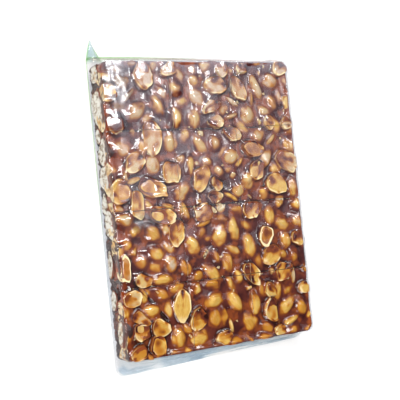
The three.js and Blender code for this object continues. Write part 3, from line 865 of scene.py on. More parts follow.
def setOrLink(tree, socket, value):
    if isinstance(value, bpy.types.NodeSocket):
        tree.links.new(value, socket)
    elif isinstance(value, tuple):
        socket.default_value = (*value, 1)
    else:
        socket.default_value = value


def addMix(tree, share, first, second):
    mix = tree.nodes.new("ShaderNodeMix")
    mix.data_type = "RGBA"
    for socket, value in ((mix.inputs[0], share), (mix.inputs[6], first), (mix.inputs[7], second)):
        setOrLink(tree, socket, value)
    return mix.outputs[2]


def addRange(tree, value, low, high, newLow=0.0, newHigh=1.0):
    span = tree.nodes.new("ShaderNodeMapRange")
    span.interpolation_type = "SMOOTHSTEP"
    for name, number in (("From Min", low), ("From Max", high), ("To Min", newLow), ("To Max", newHigh)):
        span.inputs[name].default_value = number
    tree.links.new(value, span.inputs["Value"])
    return span.outputs["Result"]


def addMath(tree, kind, first, second):
    step = tree.nodes.new("ShaderNodeMath")
    step.operation = kind
    setOrLink(tree, step.inputs[0], first)
    setOrLink(tree, step.inputs[1], second)
    return step.outputs[0]


def addAttribute(tree, name, output="Fac"):
    attribute = tree.nodes.new("ShaderNodeAttribute")
    attribute.attribute_name = name
    return attribute.outputs[output]


def addBump(tree, height, strength, distance, *shaders):
    bump = tree.nodes.new("ShaderNodeBump")
    bump.inputs["Strength"].default_value = strength
    bump.inputs["Distance"].default_value = distance
    tree.links.new(height, bump.inputs["Height"])
    for shader in shaders:
        tree.links.new(bump.outputs["Normal"], shader.inputs["Normal"])


caramelLook = {     # noises have a scale and a detail, ranges what goes in and what comes out
    "pit": (0.028, 0.0060, 0.0042),
    "deep": (0.056, 0.0118, 0.0115),
    "mid": (0.130, 0.0290, 0.0190),
    "ember": (0.29, 0.068, 0.018),
    "amber": (0.48, 0.185, 0.022),
    # the head colours carry a painted sheen: paler and bluer than at the foot
    "amberHeadPaintedSheen": (0.43, 0.200, 0.064),
    "brown": (0.200, 0.0490, 0.0130),
    "brownHeadPaintedSheen": (0.19, 0.063, 0.031),
    "glow": (0.28, 0.048, 0.007),
    "cloud": (120, 2), "cloudRange": (0.35, 0.65),
    "patch": (150, 2), "patchRange": (0.48, 0.64, 0.0, 0.85),
    "amberRange": (0.1, 0.5), "brownRange": (0.38, 0.8), "massRange": (0.7, 1.15), "pitRange": (1.15, 1.8),
    "glowCloud": (170, 3), "glowRange": (0.42, 0.62), "headRange": (-0.05, 0.07),
    "grain": (900, 2), "glossRange": (0.3, 0.7, 0.04, 0.13), "headRough": 0.17, "bump": (0.15, 0.0002),
}
nutLook = {
    "toasted": (0.50, 0.235, 0.034),
    "golden": (0.68, 0.445, 0.103),
    "tan": (0.52, 0.38, 0.205),
    "fleck": (0.36, 0.15, 0.03),
    "crumb": (0.78, 0.61, 0.32),
    "pale": (0.58, 0.46, 0.36),
    "rim": (0.88, 0.73, 0.43),
    "flesh": (0.70, 0.68, 0.61),
    "fleshDark": (0.36, 0.27, 0.17),
    "fleshPit": (0.06, 0.028, 0.016),
    "skin": ((0.0, "toasted"), (0.35, "golden"), (0.7, "tan"), (1.0, "pale")),
    "fibre": (1.0, 3), "fibreStretch": (0.3, 1.1, 1.0), "fibreRange": (0.3, 0.7, -0.12, 0.12),
    "mottle": (260, 3), "mottleRange": (0.45, 0.75, 0.0, 0.35),
    "flecks": (1300, 2), "fleckRange": (0.62, 0.72, 0.0, 0.45),
    "fine": (1800, 3), "roughRange": (0.0, 0.6, 0.4, 0.2), "specular": 0.25, "bump": (0.08, 0.0002),
}
cutLook = {
    "speckle": (520, 5, 0.7),
    "flesh": ((0.38, "fleshPit"), (0.44, "fleshDark"), (0.52, "crumb"), (0.66, "flesh")),
    "blotch": (240, 2), "blotchRange": (0.42, 0.66, 0.0, 0.75), "rough": 0.6, "bump": (0.4, 0.0005),
}
shearedLook = {
    "speckle": (480, 5, 0.7),
    "flesh": ((0.38, "fleshPit"), (0.44, "fleshDark"), (0.51, "flesh")),
    "blotch": (330, 2), "blotchRange": (0.58, 0.85, 0.0, 0.5), "rough": 0.5, "bump": (0.6, 0.0005),
}


def addFibre(tree):     # streaks along each nut
    stretch = tree.nodes.new("ShaderNodeMapping")
    stretch.inputs["Scale"].default_value = nutLook["fibreStretch"]
    tree.links.new(addAttribute(tree, "fibre", "Vector"), stretch.inputs["Vector"])
    return addNoise(tree, stretch.outputs["Vector"], *nutLook["fibre"])


def nutColour(tree, place):
    mottle = addNoise(tree, place, *nutLook["mottle"])
    fleck = addNoise(tree, place, *nutLook["flecks"])
    streak = addRange(tree, addFibre(tree), *nutLook["fibreRange"])
    skin = addRamp(tree, addMath(tree, "ADD", addAttribute(tree, "tone"), streak), nutLook["skin"])
    skin = addMix(tree, addRange(tree, mottle, *nutLook["mottleRange"]), skin, nutLook["toasted"])
    return addMix(tree, addRange(tree, fleck, *nutLook["fleckRange"]), skin, nutLook["fleck"])


def headShare(tree, place):     # 0 at the slab's foot, 1 at its head
    axes = tree.nodes.new("ShaderNodeSeparateXYZ")
    tree.links.new(place, axes.inputs[0])
    return addRange(tree, axes.outputs["Y"], *caramelLook["headRange"])


def steeped(tree, place, skin):     # nut, amber, brown, then caramel as the coat thickens
    cloud = addNoise(tree, place, *caramelLook["cloud"])
    patch = addNoise(tree, place, *caramelLook["patch"])
    head = headShare(tree, place)
    cloudy = addRange(tree, cloud, *caramelLook["cloudRange"])
    mass = addMix(tree, cloudy, caramelLook["deep"], caramelLook["mid"])
    # towards the head the amber and brown take on a painted sheen
    layers = {
        "amber": addMix(tree, head, caramelLook["amber"], caramelLook["amberHeadPaintedSheen"]),
        "brown": addMix(tree, head, caramelLook["brown"], caramelLook["brownHeadPaintedSheen"]),
        "mass": addMix(tree, addRange(tree, patch, *caramelLook["patchRange"]), mass, caramelLook["ember"]),
        "pit": caramelLook["pit"],
    }
    steep = addAttribute(tree, "steep")
    colour = skin
    for name, layer in layers.items():
        colour = addMix(tree, addRange(tree, steep, *caramelLook[name + "Range"]), colour, layer)
    return colour


def caramelMaterial():
    material, tree, shader = newMaterial("caramel")
    place = objectPlace(tree)
    cloud = addRange(tree, addNoise(tree, place, *caramelLook["glowCloud"]), *caramelLook["glowRange"])
    glow = addMath(tree, "MULTIPLY", addAttribute(tree, "glow"), cloud)
    colour = addMix(tree, glow, steeped(tree, place, nutColour(tree, place)), caramelLook["glow"])
    tree.links.new(colour, shader.inputs["Base Color"])
    grain = addNoise(tree, place, *caramelLook["grain"])
    gloss = addRange(tree, grain, *caramelLook["glossRange"])
    dull = addMath(tree, "MULTIPLY", headShare(tree, place), caramelLook["headRough"])
    tree.links.new(addMath(tree, "ADD", gloss, dull), shader.inputs["Roughness"])
    addBump(tree, grain, *caramelLook["bump"], shader)
    return material


def nutMaterial():
    material, tree, shader = newMaterial("roasted_nut")
    place = objectPlace(tree)
    skin = addMix(tree, addAttribute(tree, "rim"), nutColour(tree, place), nutLook["rim"])
    tree.links.new(steeped(tree, place, skin), shader.inputs["Base Color"])
    rough = addRange(tree, addAttribute(tree, "steep"), *nutLook["roughRange"])
    tree.links.new(rough, shader.inputs["Roughness"])
    shader.inputs["Specular IOR Level"].default_value = nutLook["specular"]
    addBump(tree, addNoise(tree, place, *nutLook["fine"]), *nutLook["bump"], shader)
    return material


def fleshMaterial(name, look, hasSkin):
    material, tree, shader = newMaterial(name)
    place = objectPlace(tree)
    speckle = addNoise(tree, place, *look["speckle"])
    blotch = addRange(tree, addNoise(tree, place, *look["blotch"]), *look["blotchRange"])
    colour = addMix(tree, blotch, addRamp(tree, speckle, look["flesh"]), nutLook["toasted"])
    if hasSkin:     # skin and caramel round a sheared face
        skin = steeped(tree, place, nutColour(tree, place))
        colour = addMix(tree, addAttribute(tree, "rim"), skin, colour)
    tree.links.new(colour, shader.inputs["Base Color"])
    shader.inputs["Roughness"].default_value = look["rough"]
    addBump(tree, speckle, *look["bump"], shader)
    return material


caramelFinish = caramelMaterial()
nutFinish = nutMaterial()
fleshFinish = fleshMaterial("cut_nut", cutLook, False)
sideFinish = fleshMaterial("sheared_nut", shearedLook, True)


# Finishing a piece: into the frame, onto its body
def leanOut(co):
    share = min(max((leftLean["reach"] - halfWidth - co.x) / leftLean["reach"], 0), 1)
    return leftLean["flare"] * share * (1 - co.z / slab["thickness"])


def addObject(name, data):
    holder = bpy.data.objects.new(name, data)
    bpy.context.scene.collection.objects.link(holder)
    return holder


def finishPiece(name, bm, materials, slotName):
    if slotName == "brittle":
        for vert in bm.verts:
            vert.co.x -= leanOut(vert.co)
    mesh = bpy.data.meshes.new(name)
    bm.to_mesh(mesh)
    bm.free()
    mesh.transform(toFrame)
    for material in materials:
        mesh.materials.append(material)
    piece = addObject(name, mesh)
    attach(piece, "root")
    mesh.calc_loop_triangles()
    print(name, len(mesh.loop_triangles), "triangles")
    return piece


def paint(piece, name, values):
    attribute = piece.data.attributes.new(name, "FLOAT", "POINT")
    attribute.data.foreach_set("value", np.asarray(values, np.float32))


def paintAll(piece, values):
    for name, numbers in values.items():
        paint(piece, name, numbers)


def paintFibre(piece, values):
    attribute = piece.data.attributes.new("fibre", "FLOAT_VECTOR", "POINT")
    attribute.data.foreach_set("vector", np.asarray(values, np.float32).ravel())


def fibreOver(x, y):     # place along and across the nut under a spot of the coat
    i = round(min(max((x + halfWidth) / cellX, 0), columns))
    j = round(min(max((y + halfLength) / cellY, 0), rows))
    if coatOwner[i, j] < 0:
        return 0, 0, 0
    nut = allParts[coatOwner[i, j]][1]
    return *nutAxes(nut, x, y), nut["twist"].x


def takeLayer(bm, name):     # a draft layer's values, which then leaves the mesh
    layer = bm.verts.layers.float[name]
    values = [vert[layer] for vert in bm.verts]
    bm.verts.layers.float.remove(layer)
    return values


def roundCorner(u, v, spanX, spanY, radius):     # square corner of a grid onto a quarter circle
    x, y = u * spanX, v * spanY
    a = (abs(x) - spanX + radius) / radius
    b = (abs(y) - spanY + radius) / radius
    if a <= 0 or b <= 0:
        return x, y
    outX = spanX - radius + radius * a * math.sqrt(1 - b * b / 2)
    outY = spanY - radius + radius * b * math.sqrt(1 - a * a / 2)
    return math.copysign(outX, x), math.copysign(outY, y)


def growRing(bm, edges):     # a new ring of vertices along an open edge
    grown = bmesh.ops.extrude_edge_only(bm, edges=edges)["geom"]
    verts = [item for item in grown if isinstance(item, bmesh.types.BMVert)]
    return verts, [item for item in grown if isinstance(item, bmesh.types.BMEdge) and item.is_boundary]


def openGrid(across, along, names):     # a grid from -1 to 1 with draft layers, and its open edge
    bm = bmesh.new()
    bmesh.ops.create_grid(bm, x_segments=across, y_segments=along, size=1)
    layers = {name: bm.verts.layers.float.new(name + "Draft") for name in names}
    return bm, layers, [edge for edge in bm.edges if edge.is_boundary]


def closeSmooth(bm, openEdges=()):
    if openEdges:
        bmesh.ops.holes_fill(bm, edges=openEdges, sides=0)
    bmesh.ops.recalc_face_normals(bm, faces=bm.faces)
    for face in bm.faces:
        face.smooth = True


# Caramel body
body = {
    "inset": 0.3, "drops": (0.03, 0.1, 0.2, 0.32, 0.44, 0.56, 0.68, 0.8, 0.9, 0.97, 1.0), "foot": 0.05,
    "sideWave": 1.6, "sideSize": 3.0, "pull": 0.3, "pullFrom": (0, 0.2),
    # the pull term darkens the side wall where it is pulled in: painted shade
    "steep": 1.45, "recessShade": 0.5, "pullRange": (0.1, 0.9), "lowSteep": 0.4, "lowRange": (0.45, 0.75),
    "glow": 0.9, "glowWidth": 5, "glowRange": (0.7, 0.1), "lowGlow": 0.7,
}


def makeCaramel():
    bm, layers, edges = openGrid(columns, rows, ("steep", "tone", "glow", "top"))
    steepLayer, toneLayer, glowLayer, topLayer = layers.values()
    spanX = halfWidth - body["inset"]
    spanY = halfLength - body["inset"]
    for vert in bm.verts:
        x, y = vert.co.x * halfWidth, vert.co.y * halfLength
        vert[steepLayer] = fieldAt(coatSteep, x, y)
        vert[toneLayer] = fieldAt(coatTone, x, y)
        vert[glowLayer] = body["glow"] * max(0, 1 - (x + halfWidth) / body["glowWidth"])
        vert[topLayer] = height = fieldAt(coatHeight, x, y)
        vert.co = (*roundCorner(vert.co.x, vert.co.y, spanX, spanY, slab["corner"]), height)
    for drop in body["drops"]:
        verts, edges = growRing(bm, edges)
        low = smoothStep(*body["lowRange"], drop)
        for vert in verts:
            x, y = vert.co.x, vert.co.y
            z = vert[topLayer] * (1 - drop) + body["foot"] * drop
            swell = body["sideWave"] * noise.noise(Vector((x, y, z)) / body["sideSize"])
            outX, outY = math.trunc(round(x / spanX, 1)), math.trunc(round(y / spanY, 1))
            pull = max(0, body["pull"] - swell) * smoothStep(*body["pullFrom"], drop)
            if drop == 1 or outX and outY:
                pull = 0
            if pull and outX:
                x = outX * (spanX - pull)
            if pull and outY:
                y = outY * (spanY - pull)
            vert.co = (x, y, z)
            # painted shade where the side wall is pulled in; the glow goes where it stands out
            dark = body["recessShade"] * smoothStep(*body["pullRange"], pull)
            vert[steepLayer] = body["steep"] + dark + body["lowSteep"] * low
            bright = body["glow"] * smoothStep(*body["glowRange"], pull)
            vert[glowLayer] = bright * (1 - body["lowGlow"] * low)
    closeSmooth(bm, edges)
    takeLayer(bm, "topDraft")
    values = {name: takeLayer(bm, name + "Draft") for name in ("steep", "tone", "glow")}
    fibres = [fibreOver(vert.co.x, vert.co.y) for vert in bm.verts]
    piece = finishPiece("caramel", bm, [caramelFinish], "brittle")
    paintAll(piece, values)
    paintFibre(piece, fibres)
    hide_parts("brittle")


# Nuts: joined by kind, each vertex knowing how much caramel clings to it
def faceSteep(nut, crest, place):
    over = max(place.z - fieldAt(coatHeight, place.x, place.y), 0)
    steep = steepOf(nut, crest - place.z, 0, place)
    waterline = steeping["waterline"] * math.exp(-over / steeping["waterDepth"])
    return steep + (fieldAt(coatSteep, place.x, place.y) - steep) * waterline


def joinNuts(name, parts, materials=(nutFinish, fleshFinish)):
    joined = bmesh.new()
    draft = bpy.data.meshes.new("draft")
    values = {"tone": [], "steep": [], "rim": []}
    fibres = []
    for bm, nut in parts:
        crest = crestOf(bm)
        rims, stains, alongs, acrosses = [takeLayer(bm, layer) for layer in draftNames]
        for vert, stain in zip(bm.verts, stains):
            steep = sideSteep(nut, vert.co) if nut["kind"] == "side" else faceSteep(nut, crest, vert.co)
            values["steep"].append(steep + stain)
        values["tone"] += [nut["tone"]] * len(bm.verts)
        values["rim"] += rims
        fibres += [(along * nut["length"] / 2, across * nut["width"] / 2, nut["twist"].x)
                   for along, across in zip(alongs, acrosses)]
        bm.to_mesh(draft)
        bm.free()
        joined.from_mesh(draft)
    bpy.data.meshes.remove(draft)
    piece = finishPiece(name, joined, materials, "brittle")
    paintAll(piece, values)
    paintFibre(piece, fibres)


makeCaramel()
pieceNames = {
    "whole": "whole_nuts", "split": "split_nuts", "shard": "nut_shards", "sliver": "nut_slivers",
    "chip": "nut_chips", "sunk": "sunk_nuts",
}
for kind, name in pieceNames.items():
    joinNuts(name, [part for part in nutParts if part[1]["kind"] == kind])
joinNuts("side_nuts", sideParts, [sideFinish])


# Crumbs and bubbles on the caramel
crumbs = {
    "seed": 41, "count": 60, "inset": 1.5, "radius": (0.5, 1.2), "tone": (0.3, 1.0), "wet": (0, 0.8),
    "length": 2.4, "width": 1.7, "height": 1.5, "tip": (-30, 30), "lift": 0.2,
    "deepFrom": 0.4, "highest": 11.4,
    "onLines": 60, "lineSpread": 1.2, "lineShare": 0.55, "lineDeepFrom": 0.05, "lineHighest": 12,
}


def drawSpot(draw, kind):     # a place on the face and a radius
    inset = kind["inset"]
    x = draw(inset - halfWidth, halfWidth - inset)
    y = draw(inset - halfLength, halfLength - inset)
    return x, y, draw(*kind["radius"])


def makeCrumbs():
    draw = makeDraw(crumbs["seed"])
    parts = []
    for step in range(crumbs["count"] + crumbs["onLines"]):
        x, y, radius = drawSpot(draw, crumbs)
        deepFrom, highest = crumbs["deepFrom"], crumbs["highest"]
        if step >= crumbs["count"]:     # the knife leaves crumbs along the score lines
            y = slab["rowCuts"][step % len(slab["rowCuts"])] + crumbs["lineSpread"] * y / halfLength
            radius *= crumbs["lineShare"]
            deepFrom, highest = crumbs["lineDeepFrom"], crumbs["lineHighest"]
        nut = {"x": x, "y": y, "kind": "chip", "tone": draw(*crumbs["tone"]), "wet": draw(*crumbs["wet"]),
               "twist": Vector([draw(*dressing["twist"]) for axis in range(3)]),
               "turn": draw(0, 180), "roll": draw(*crumbs["tip"]), "pitch": draw(*crumbs["tip"])}
        for name in ("length", "width", "height"):
            nut[name] = crumbs[name] * radius
        height = fieldAt(coatHeight, x, y)
        if fieldAt(coatDepth, x, y) >= deepFrom and height <= highest:
            bm = chipForm(nut)
            placeNut(bm, nut, height + crumbs["lift"] * radius)
            parts.append((bm, nut))
    joinNuts("nut_crumbs", parts)


beads = {
    "seed": 59, "count": 280, "inset": 1, "radius": (0.15, 0.45), "flat": 0.75,
    "deepFrom": 0.15, "highest": 12.2, "steep": 0.1,
}


def makeBeads():
    draw = makeDraw(beads["seed"])
    bm = bmesh.new()
    for step in range(beads["count"]):
        x, y, radius = drawSpot(draw, beads)
        height = fieldAt(coatHeight, x, y)
        if fieldAt(coatDepth, x, y) >= beads["deepFrom"] and height <= beads["highest"]:
            place = Matrix.Translation((x, y, height)) @ Matrix.Diagonal((1, 1, beads["flat"], 1))
            bmesh.ops.create_icosphere(bm, subdivisions=2, radius=radius, matrix=place)
    for face in bm.faces:
        face.smooth = True
    values = {
        "steep": [fieldAt(coatSteep, vert.co.x, vert.co.y) + beads["steep"] for vert in bm.verts],
        "tone": [fieldAt(coatTone, vert.co.x, vert.co.y) for vert in bm.verts],
        "glow": [0] * len(bm.verts),
    }
    piece = finishPiece("caramel_beads", bm, [caramelFinish], "brittle")
    paintAll(piece, values)


makeCrumbs()
makeBeads()


# Clear film: a sealed bag drawn over the slab
film = {
    "columns": 200, "rows": 266, "outside": 0.25, "lift": 0.1, "bridge": 5, "relax": 4, "headroom": 0.02,
    "rings": 22, "fall": 1.25, "hem": 0.12, "sole": -0.33, "soleShare": 0.985,
    "sideMargin": 2.7, "footMargin": (7.8, 3.9), "headMargin": (4.0, 2.3), "headArch": 1.0,
    "bulge": {"at": 0.92, "width": 0.07, "reach": 1.4},
    "corner": {"footLeft": 5.0, "footRight": 8.0, "headLeft": 2.0, "headRight": 4.0},
    "pleat": 0.14, "pleatSize": 4.0, "pleatDrift": 1.3, "streak": 1.5, "streakSize": 22.0, "streaks": 5.0,
    "slack": ((-49.0, 64.0, 7.0, 15.0), (-43.0, -7.0, 5.0, 4.0)), "slackGain": 1.5,     # loose spots
    "slackBridge": 14, "crumple": 0.3, "crumpleSize": 3.5, "crumpleLift": 17.0,
}
haze = {     # how milky, loose and shiny the face's film is, and over which part of its width u or length v; its milk is a painted sheen, a pale veil standing in for the film's reflection towards the head
    "milkAndPaintedSheen": (0.0, 0.07), "alongV": (-0.9, 1.0), "fromLeftU": (-0.99, -0.86),
    "right": 0.45, "rightU": (-0.6, 0.8), "head": 0.12, "headV": (0.9, 1.0),
    "rim": 0.15, "rimU": (0.975, 1.0), "slack": 0.28, "slackV": (-0.4, 0.6), "sheen": 3.6,
}
wall = {     # the same down the sides, where t runs from the face to the hem
    "flankU": (0.995, 1.0), "flankV": (1.0, 0.93), "cloudyT": (0.0, 0.35), "flankT": (0.75, 1.0),
    "headClear": 0.85, "headClearV": (0.85, 0.97), "flankClear": 0.8,
    "footClear": 0.8, "footClearU": (0.72, 0.96), "footV": (-0.9, -1.0), "streaky": (-0.35, 0.35),
    "warmV": (0.995, 1.0), "warmT": (0.1, 0.3), "warmEndT": (1.0, 0.7), "sheen": 0.3, "sheenT": (0, 0.2),
    "milkAndPaintedSheen": 0.08, "milkT": (0.55, 0.85),
    "green": 0.6, "greenU": (-0.98, -1.0), "greenV": (-0.35, 0.4), "greenT": (0.93, 1.0),
    "headGreenV": (0.98, 1.0), "headGreenU": (0.35, -0.7), "headGreenT": (0.78, 0.9),
}
filmLook = {
    "clear": (0.985, 0.985, 0.985),
    "margin": (0.55, 0.68, 0.75),
    "warm": (0.90, 0.80, 0.73),
    "green": (0.60, 0.85, 0.42),
    # haze is the colour of the film's milk, the painted sheen
    "haze": (0.78, 0.82, 0.98),
    "streak": (140, 3), "streakRange": (0.3, 0.7, 0.6, 1.0), "marginHaze": 0.2,
    "crinkle": (160, 2), "bump": (0.04, 0.0010),
    "roughRange": (0.0, 1.0, 0.05, 0.26), "ior": 1.5, "mirror": 0.2,
}
filmNames = ("margin", "green", "warm", "milkAndPaintedSheen", "sheen", "slack")


def mixShaders(tree, share, first, second):
    mix = tree.nodes.new("ShaderNodeMixShader")
    tree.links.new(share, mix.inputs["Fac"])
    tree.links.new(first.outputs[0], mix.inputs[1])
    tree.links.new(second.outputs[0], mix.inputs[2])
    return mix


def filmMaterial():
    material, tree, shader = newMaterial("clear_film")
    tree.nodes.remove(shader)
    place = objectPlace(tree)
    streak = addRange(tree, addNoise(tree, place, *filmLook["streak"]), *filmLook["streakRange"])
    margin = addMath(tree, "MULTIPLY", addAttribute(tree, "margin"), streak)
    tint = addMix(tree, margin, filmLook["clear"], filmLook["margin"])
    for name in ("warm", "green"):
        tint = addMix(tree, addAttribute(tree, name), tint, filmLook[name])
    through = tree.nodes.new("ShaderNodeBsdfTransparent")
    tree.links.new(tint, through.inputs["Color"])
    # the milk: a pale diffuse veil, painted sheen
    milkAndPaintedSheen = tree.nodes.new("ShaderNodeBsdfDiffuse")
    milkAndPaintedSheen.inputs["Color"].default_value = (*filmLook["haze"], 1)
    gloss = tree.nodes.new("ShaderNodeBsdfGlossy")
    rough = addRange(tree, addAttribute(tree, "slack"), *filmLook["roughRange"])
    tree.links.new(rough, gloss.inputs["Roughness"])
    fresnel = tree.nodes.new("ShaderNodeFresnel")
    fresnel.inputs["IOR"].default_value = filmLook["ior"]
    addBump(tree, addNoise(tree, place, *filmLook["crinkle"]), *filmLook["bump"], gloss, fresnel)
    cloudy = addRange(tree, margin, 0.0, 1.0, 0.0, filmLook["marginHaze"])
    hazy = mixShaders(tree, addMath(tree, "ADD", addAttribute(tree, "milkAndPaintedSheen"), cloudy), through, milkAndPaintedSheen)
    mirror = addMath(tree, "MINIMUM", fresnel.outputs[0], filmLook["mirror"])
    sheen = mixShaders(tree, addMath(tree, "MULTIPLY", mirror, addAttribute(tree, "sheen")), hazy, gloss)
    tree.links.new(sheen.outputs[0], tree.nodes["Material Output"].inputs["Surface"])
    return material


def hemPlace(u, v):     # where the bag's outline lies, for a spot on the slab's outline
    bulge = film["bulge"]
    foot = between(film["footMargin"], (1 + u) / 2)
    head = between(film["headMargin"], (1 + u) / 2) + film["headArch"] * (1 - u * u)
    head += bulge["reach"] * hump(u - bulge["at"], bulge["width"])
    spanX = halfWidth + film["sideMargin"]
    spanY = halfLength + (head if v > 0 else foot)
    name = ("foot", "head")[v > 0] + ("Left", "Right")[u > 0]
    return roundCorner(u, v, spanX, spanY, film["corner"][name])


def bridged(field, reach):     # drawn straight over gaps narrower than twice the reach
    for step in range(reach):
        field = spreadMost(field)
    for step in range(reach):
        field = -spreadMost(-field)
    return field


def slackShare(x, y):
    return np.clip(film["slackGain"] * spotShare(x, y, film["slack"]), 0, 1)


def drawFilm():
    tight = blurred(bridged(surfaceHeight, film["bridge"]), film["relax"])
    tight = np.maximum(tight, blurred(surfaceHeight, 1))
    reach = film["slackBridge"]
    loose = np.maximum(blurred(bridged(surfaceHeight, reach), reach), tight)
    slack = slackShare(gridX, gridY)
    drawn = tight + (loose - tight) * slack + film["lift"]
    drawn += film["crumple"] * slack * noiseOver(film["crumpleSize"], film["crumpleLift"])
    return np.minimum(drawn, slab["thickness"] - film["headroom"])


def paintFace(vert, layers, u, v):
    # painted sheen: the milk rises towards the head and at the edges, standing in for the film's reflection
    milkAndPaintedSheen = between(haze["milkAndPaintedSheen"], smoothStep(*haze["alongV"], v) * smoothStep(*haze["fromLeftU"], u)
                   * (1 - haze["right"] * smoothStep(*haze["rightU"], u)))
    milkAndPaintedSheen += haze["head"] * smoothStep(*haze["headV"], v) + haze["rim"] * smoothStep(*haze["rimU"], u)
    slack = slackShare(u * halfWidth, v * halfLength)
    vert[layers["milkAndPaintedSheen"]] = milkAndPaintedSheen
    vert[layers["slack"]] = max(slack, haze["slack"] * smoothStep(*haze["slackV"], v))
    vert[layers["sheen"]] = 1 + haze["sheen"] * slack


def paintWall(vert, layers, u, v, t, streak):
    flank = smoothStep(*wall["flankU"], abs(u)) * smoothStep(*wall["flankV"], abs(v))     # left and right
    cloudy = smoothStep(*wall["cloudyT"], t) * (1 - flank) + smoothStep(*wall["flankT"], t) * flank
    cloudy *= (1 - wall["headClear"] * smoothStep(*wall["headClearV"], v)) * (1 - wall["flankClear"] * flank)
    cloudy *= 1 - wall["footClear"] * smoothStep(*wall["footClearU"], u) * smoothStep(*wall["footV"], v)
    vert[layers["margin"]] = cloudy * smoothStep(*wall["streaky"], streak)
    warm = smoothStep(*wall["warmV"], v) * smoothStep(*wall["warmT"], t)
    vert[layers["warm"]] = warm * smoothStep(*wall["warmEndT"], t)
    down = smoothStep(*wall["sheenT"], t)
    vert[layers["sheen"]] = 1 - (1 - wall["sheen"]) * down
    vert[layers["milkAndPaintedSheen"]] *= 1 - flank * down
    # painted light: a pale veil low on the left and right walls that lifts the shade there
    vert[layers["milkAndPaintedSheen"]] += wall["milkAndPaintedSheen"] * flank * smoothStep(*wall["milkT"], t)
    left = smoothStep(*wall["greenU"], u) * smoothStep(*wall["greenV"], v) * smoothStep(*wall["greenT"], t)
    head = smoothStep(*wall["headGreenV"], v) * smoothStep(*wall["headGreenU"], u)
    vert[layers["green"]] = max(wall["green"] * left, head * smoothStep(*wall["headGreenT"], t))


def makeFilm():
    drawn = drawFilm()
    homeNames = ("homeU", "homeV", "top")
    bm, layers, edges = openGrid(film["columns"], film["rows"], filmNames + homeNames)
    spanX = halfWidth + film["outside"]
    spanY = halfLength + film["outside"]
    for vert in bm.verts:
        u, v = vert.co.x, vert.co.y
        z = fieldAt(drawn, u * halfWidth, v * halfLength)
        for name, value in zip(homeNames, (u, v, z)):
            vert[layers[name]] = value
        paintFace(vert, layers, u, v)
        vert.co = (*roundCorner(u, v, spanX, spanY, slab["corner"]), z)
    for ring in range(film["rings"]):
        t = (ring + 1) / film["rings"]
        verts, edges = growRing(bm, edges)
        for vert in verts:
            u, v, top = [vert[layers[name]] for name in homeNames]
            nearX, nearY = roundCorner(u, v, spanX, spanY, slab["corner"])
            farX, farY = hemPlace(u, v)
            fine, long = film["pleatSize"], film["streakSize"]
            fold = noise.noise(Vector((nearX / fine, nearY / fine, t * film["pleatDrift"])))
            streak = noise.noise(Vector((nearX / long, nearY / long, t * film["streaks"])))
            share = t + film["pleat"] * (fold + film["streak"] * streak) * math.sin(math.pi * t)
            z = top * (1 - t) ** film["fall"] + film["hem"] * t
            vert.co = (between((nearX, farX), share), between((nearY, farY), share), z)
            paintWall(vert, layers, u, v, t, streak)
    verts, edges = growRing(bm, edges)
    for vert in verts:
        vert.co = (vert.co.x * film["soleShare"], vert.co.y * film["soleShare"], film["sole"])
        vert[layers["green"]] = 0
        vert[layers["warm"]] = 0
    closeSmooth(bm, edges)
    for name in homeNames:
        takeLayer(bm, name + "Draft")
    values = {name: takeLayer(bm, name + "Draft") for name in filmNames}
    piece = finishPiece("film", bm, [filmFinish], "film")
    paintAll(piece, values)
    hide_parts("film_wrap")


ear = {
    "columns": 12, "rows": 16, "width": 10.0, "reach": 12.4, "tipWidth": 0.2, "tip": 2.5, "tipBend": 1.5,
    "foot": 0.15, "rise": 2.2, "riseShare": (0.4, 1.0), "billow": 0.5, "thick": 0.12, "merge": 0.02,
    "from": (0.05, 0.35), "green": 0.05, "edgeGreen": 0.8, "edgePower": 5, "margin": 0.45, "milkAndPaintedSheen": 0.05,
}


def makeEar():
    bm, layers, _ = openGrid(ear["columns"], ear["rows"], ("green", "share"))
    left = -halfWidth - film["sideMargin"]
    for vert in bm.verts:
        u, v = (vert.co.x + 1) / 2, (vert.co.y + 1) / 2
        arch = math.sin(math.pi * u)
        x = left + ear["tip"] * v ** ear["tipBend"] + (ear["width"] * (1 - v) + ear["tipWidth"]) * u
        rise = ear["rise"] * v * v * between(ear["riseShare"], arch)
        z = ear["foot"] + rise + ear["billow"] * arch * (1 - v)
        vert.co = (x, halfLength + ear["reach"] * v, z)
        share = smoothStep(*ear["from"], v)
        vert[layers["share"]] = share
        green = ear["green"] + ear["edgeGreen"] * (2 * abs(u - 0.5)) ** ear["edgePower"]
        vert[layers["green"]] = share * green
    bmesh.ops.solidify(bm, geom=bm.faces[:], thickness=-ear["thick"])
    bmesh.ops.remove_doubles(bm, verts=bm.verts, dist=ear["merge"])
    closeSmooth(bm)
    greens = takeLayer(bm, "greenDraft")
    shares = np.array(takeLayer(bm, "shareDraft"))
    values = {
        "margin": ear["margin"] * shares, "green": greens, "warm": 0 * shares, "slack": 0 * shares,
        "milkAndPaintedSheen": ear["milkAndPaintedSheen"] * shares, "sheen": shares,
    }
    piece = finishPiece("film_ear", bm, [filmFinish], "film")
    paintAll(piece, values)


filmFinish = filmMaterial()
makeFilm()
makeEar()


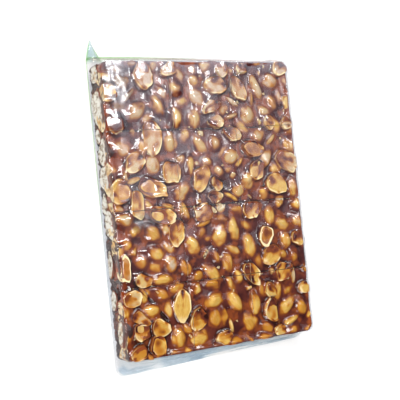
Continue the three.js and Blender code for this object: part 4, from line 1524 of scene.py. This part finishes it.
# Floor, light and camera
stage = {
    "floorSize": 6.0, "floorDrop": 0.0003, "floorColour": (0.95, 0.95, 0.95), "floorRough": 0.9,
    "world": 0.05,
}
lamps = [
    # name, place, aim, size, power, colour
    ("window", (0.02, 0.50, 0.60), (0.0, 0.0, 0.0), 0.25, 3.4, (1.0, 0.99, 0.98)),
    ("left", (-0.42, 0.02, 0.55), (0.0, 0.0, 0.0), 0.22, 2.9, (1.0, 0.985, 0.96)),
    ("glint", (0.174, 0.04, 0.57), (0.0, -0.02, 0.0), 0.02, 0.06, (1.0, 1.0, 1.0)),
    ("glare", (0.188, 0.179, 0.553), (-0.047, 0.062, 0.013), 0.1, 0.75, (1.0, 1.0, 1.0)),
    ("panel", (0.305, 0.134, 0.58), (0.0, 0.03, 0.013), 0.3, 0.35, (0.93, 0.90, 1.0)),
    ("foot", (-0.25, -0.45, 0.42), (0.0, 0.0, 0.0), 0.25, 2.2, (0.97, 0.99, 1.0)),
]
view = {
    "place": Vector((-0.23453, slabMiddle.y - 0.01171, 0.40619)),
    "ahead": Vector((0.49921, 0.03013, -0.86596)),
    "up": Vector((0.07153, 0.99455, 0.07584)),
    "lens": 77.78,
    "sensor": 36.0,
    "nearest": 0.01,
}


def makeFloor():
    bm = bmesh.new()
    bmesh.ops.create_grid(bm, x_segments=1, y_segments=1, size=stage["floorSize"] / 2)
    bmesh.ops.translate(bm, verts=bm.verts, vec=(0, 0, -stage["floorDrop"]))
    mesh = bpy.data.meshes.new("floor")
    bm.to_mesh(mesh)
    bm.free()
    material, _, shader = newMaterial("pale_floor")
    shader.inputs["Base Color"].default_value = (*stage["floorColour"], 1)
    shader.inputs["Roughness"].default_value = stage["floorRough"]
    mesh.materials.append(material)
    floor = addObject("floor", mesh)


def makeLamps():
    for name, place, aim, size, power, colour in lamps:
        lamp = bpy.data.lights.new(name, "AREA")
        lamp.size = size
        lamp.energy = power
        lamp.color = colour
        holder = addObject(name, lamp)
        holder.location = place
        holder.rotation_euler = (Vector(aim) - Vector(place)).to_track_quat("-Z", "Y").to_euler()
    world = bpy.data.worlds.new("studio")
    world.use_nodes = True
    backdrop = world.node_tree.nodes["Background"]
    backdrop.inputs["Color"].default_value = (1, 1, 1, 1)
    backdrop.inputs["Strength"].default_value = stage["world"]
    bpy.context.scene.world = world


def makeCamera():
    camera = bpy.data.cameras.new("camera")
    camera.lens = view["lens"]
    camera.sensor_width = view["sensor"]
    camera.clip_start = view["nearest"]
    holder = addObject("camera", camera)
    right = view["ahead"].cross(view["up"]).normalized()
    up = right.cross(view["ahead"]).normalized()
    turn = Matrix((right, up, -view["ahead"])).transposed().to_4x4()
    holder.matrix_world = Matrix.Translation(view["place"]) @ turn
    bpy.context.scene.camera = holder


makeFloor()
makeLamps()
makeCamera()
bpy.context.scene.view_settings.view_transform = "Standard"
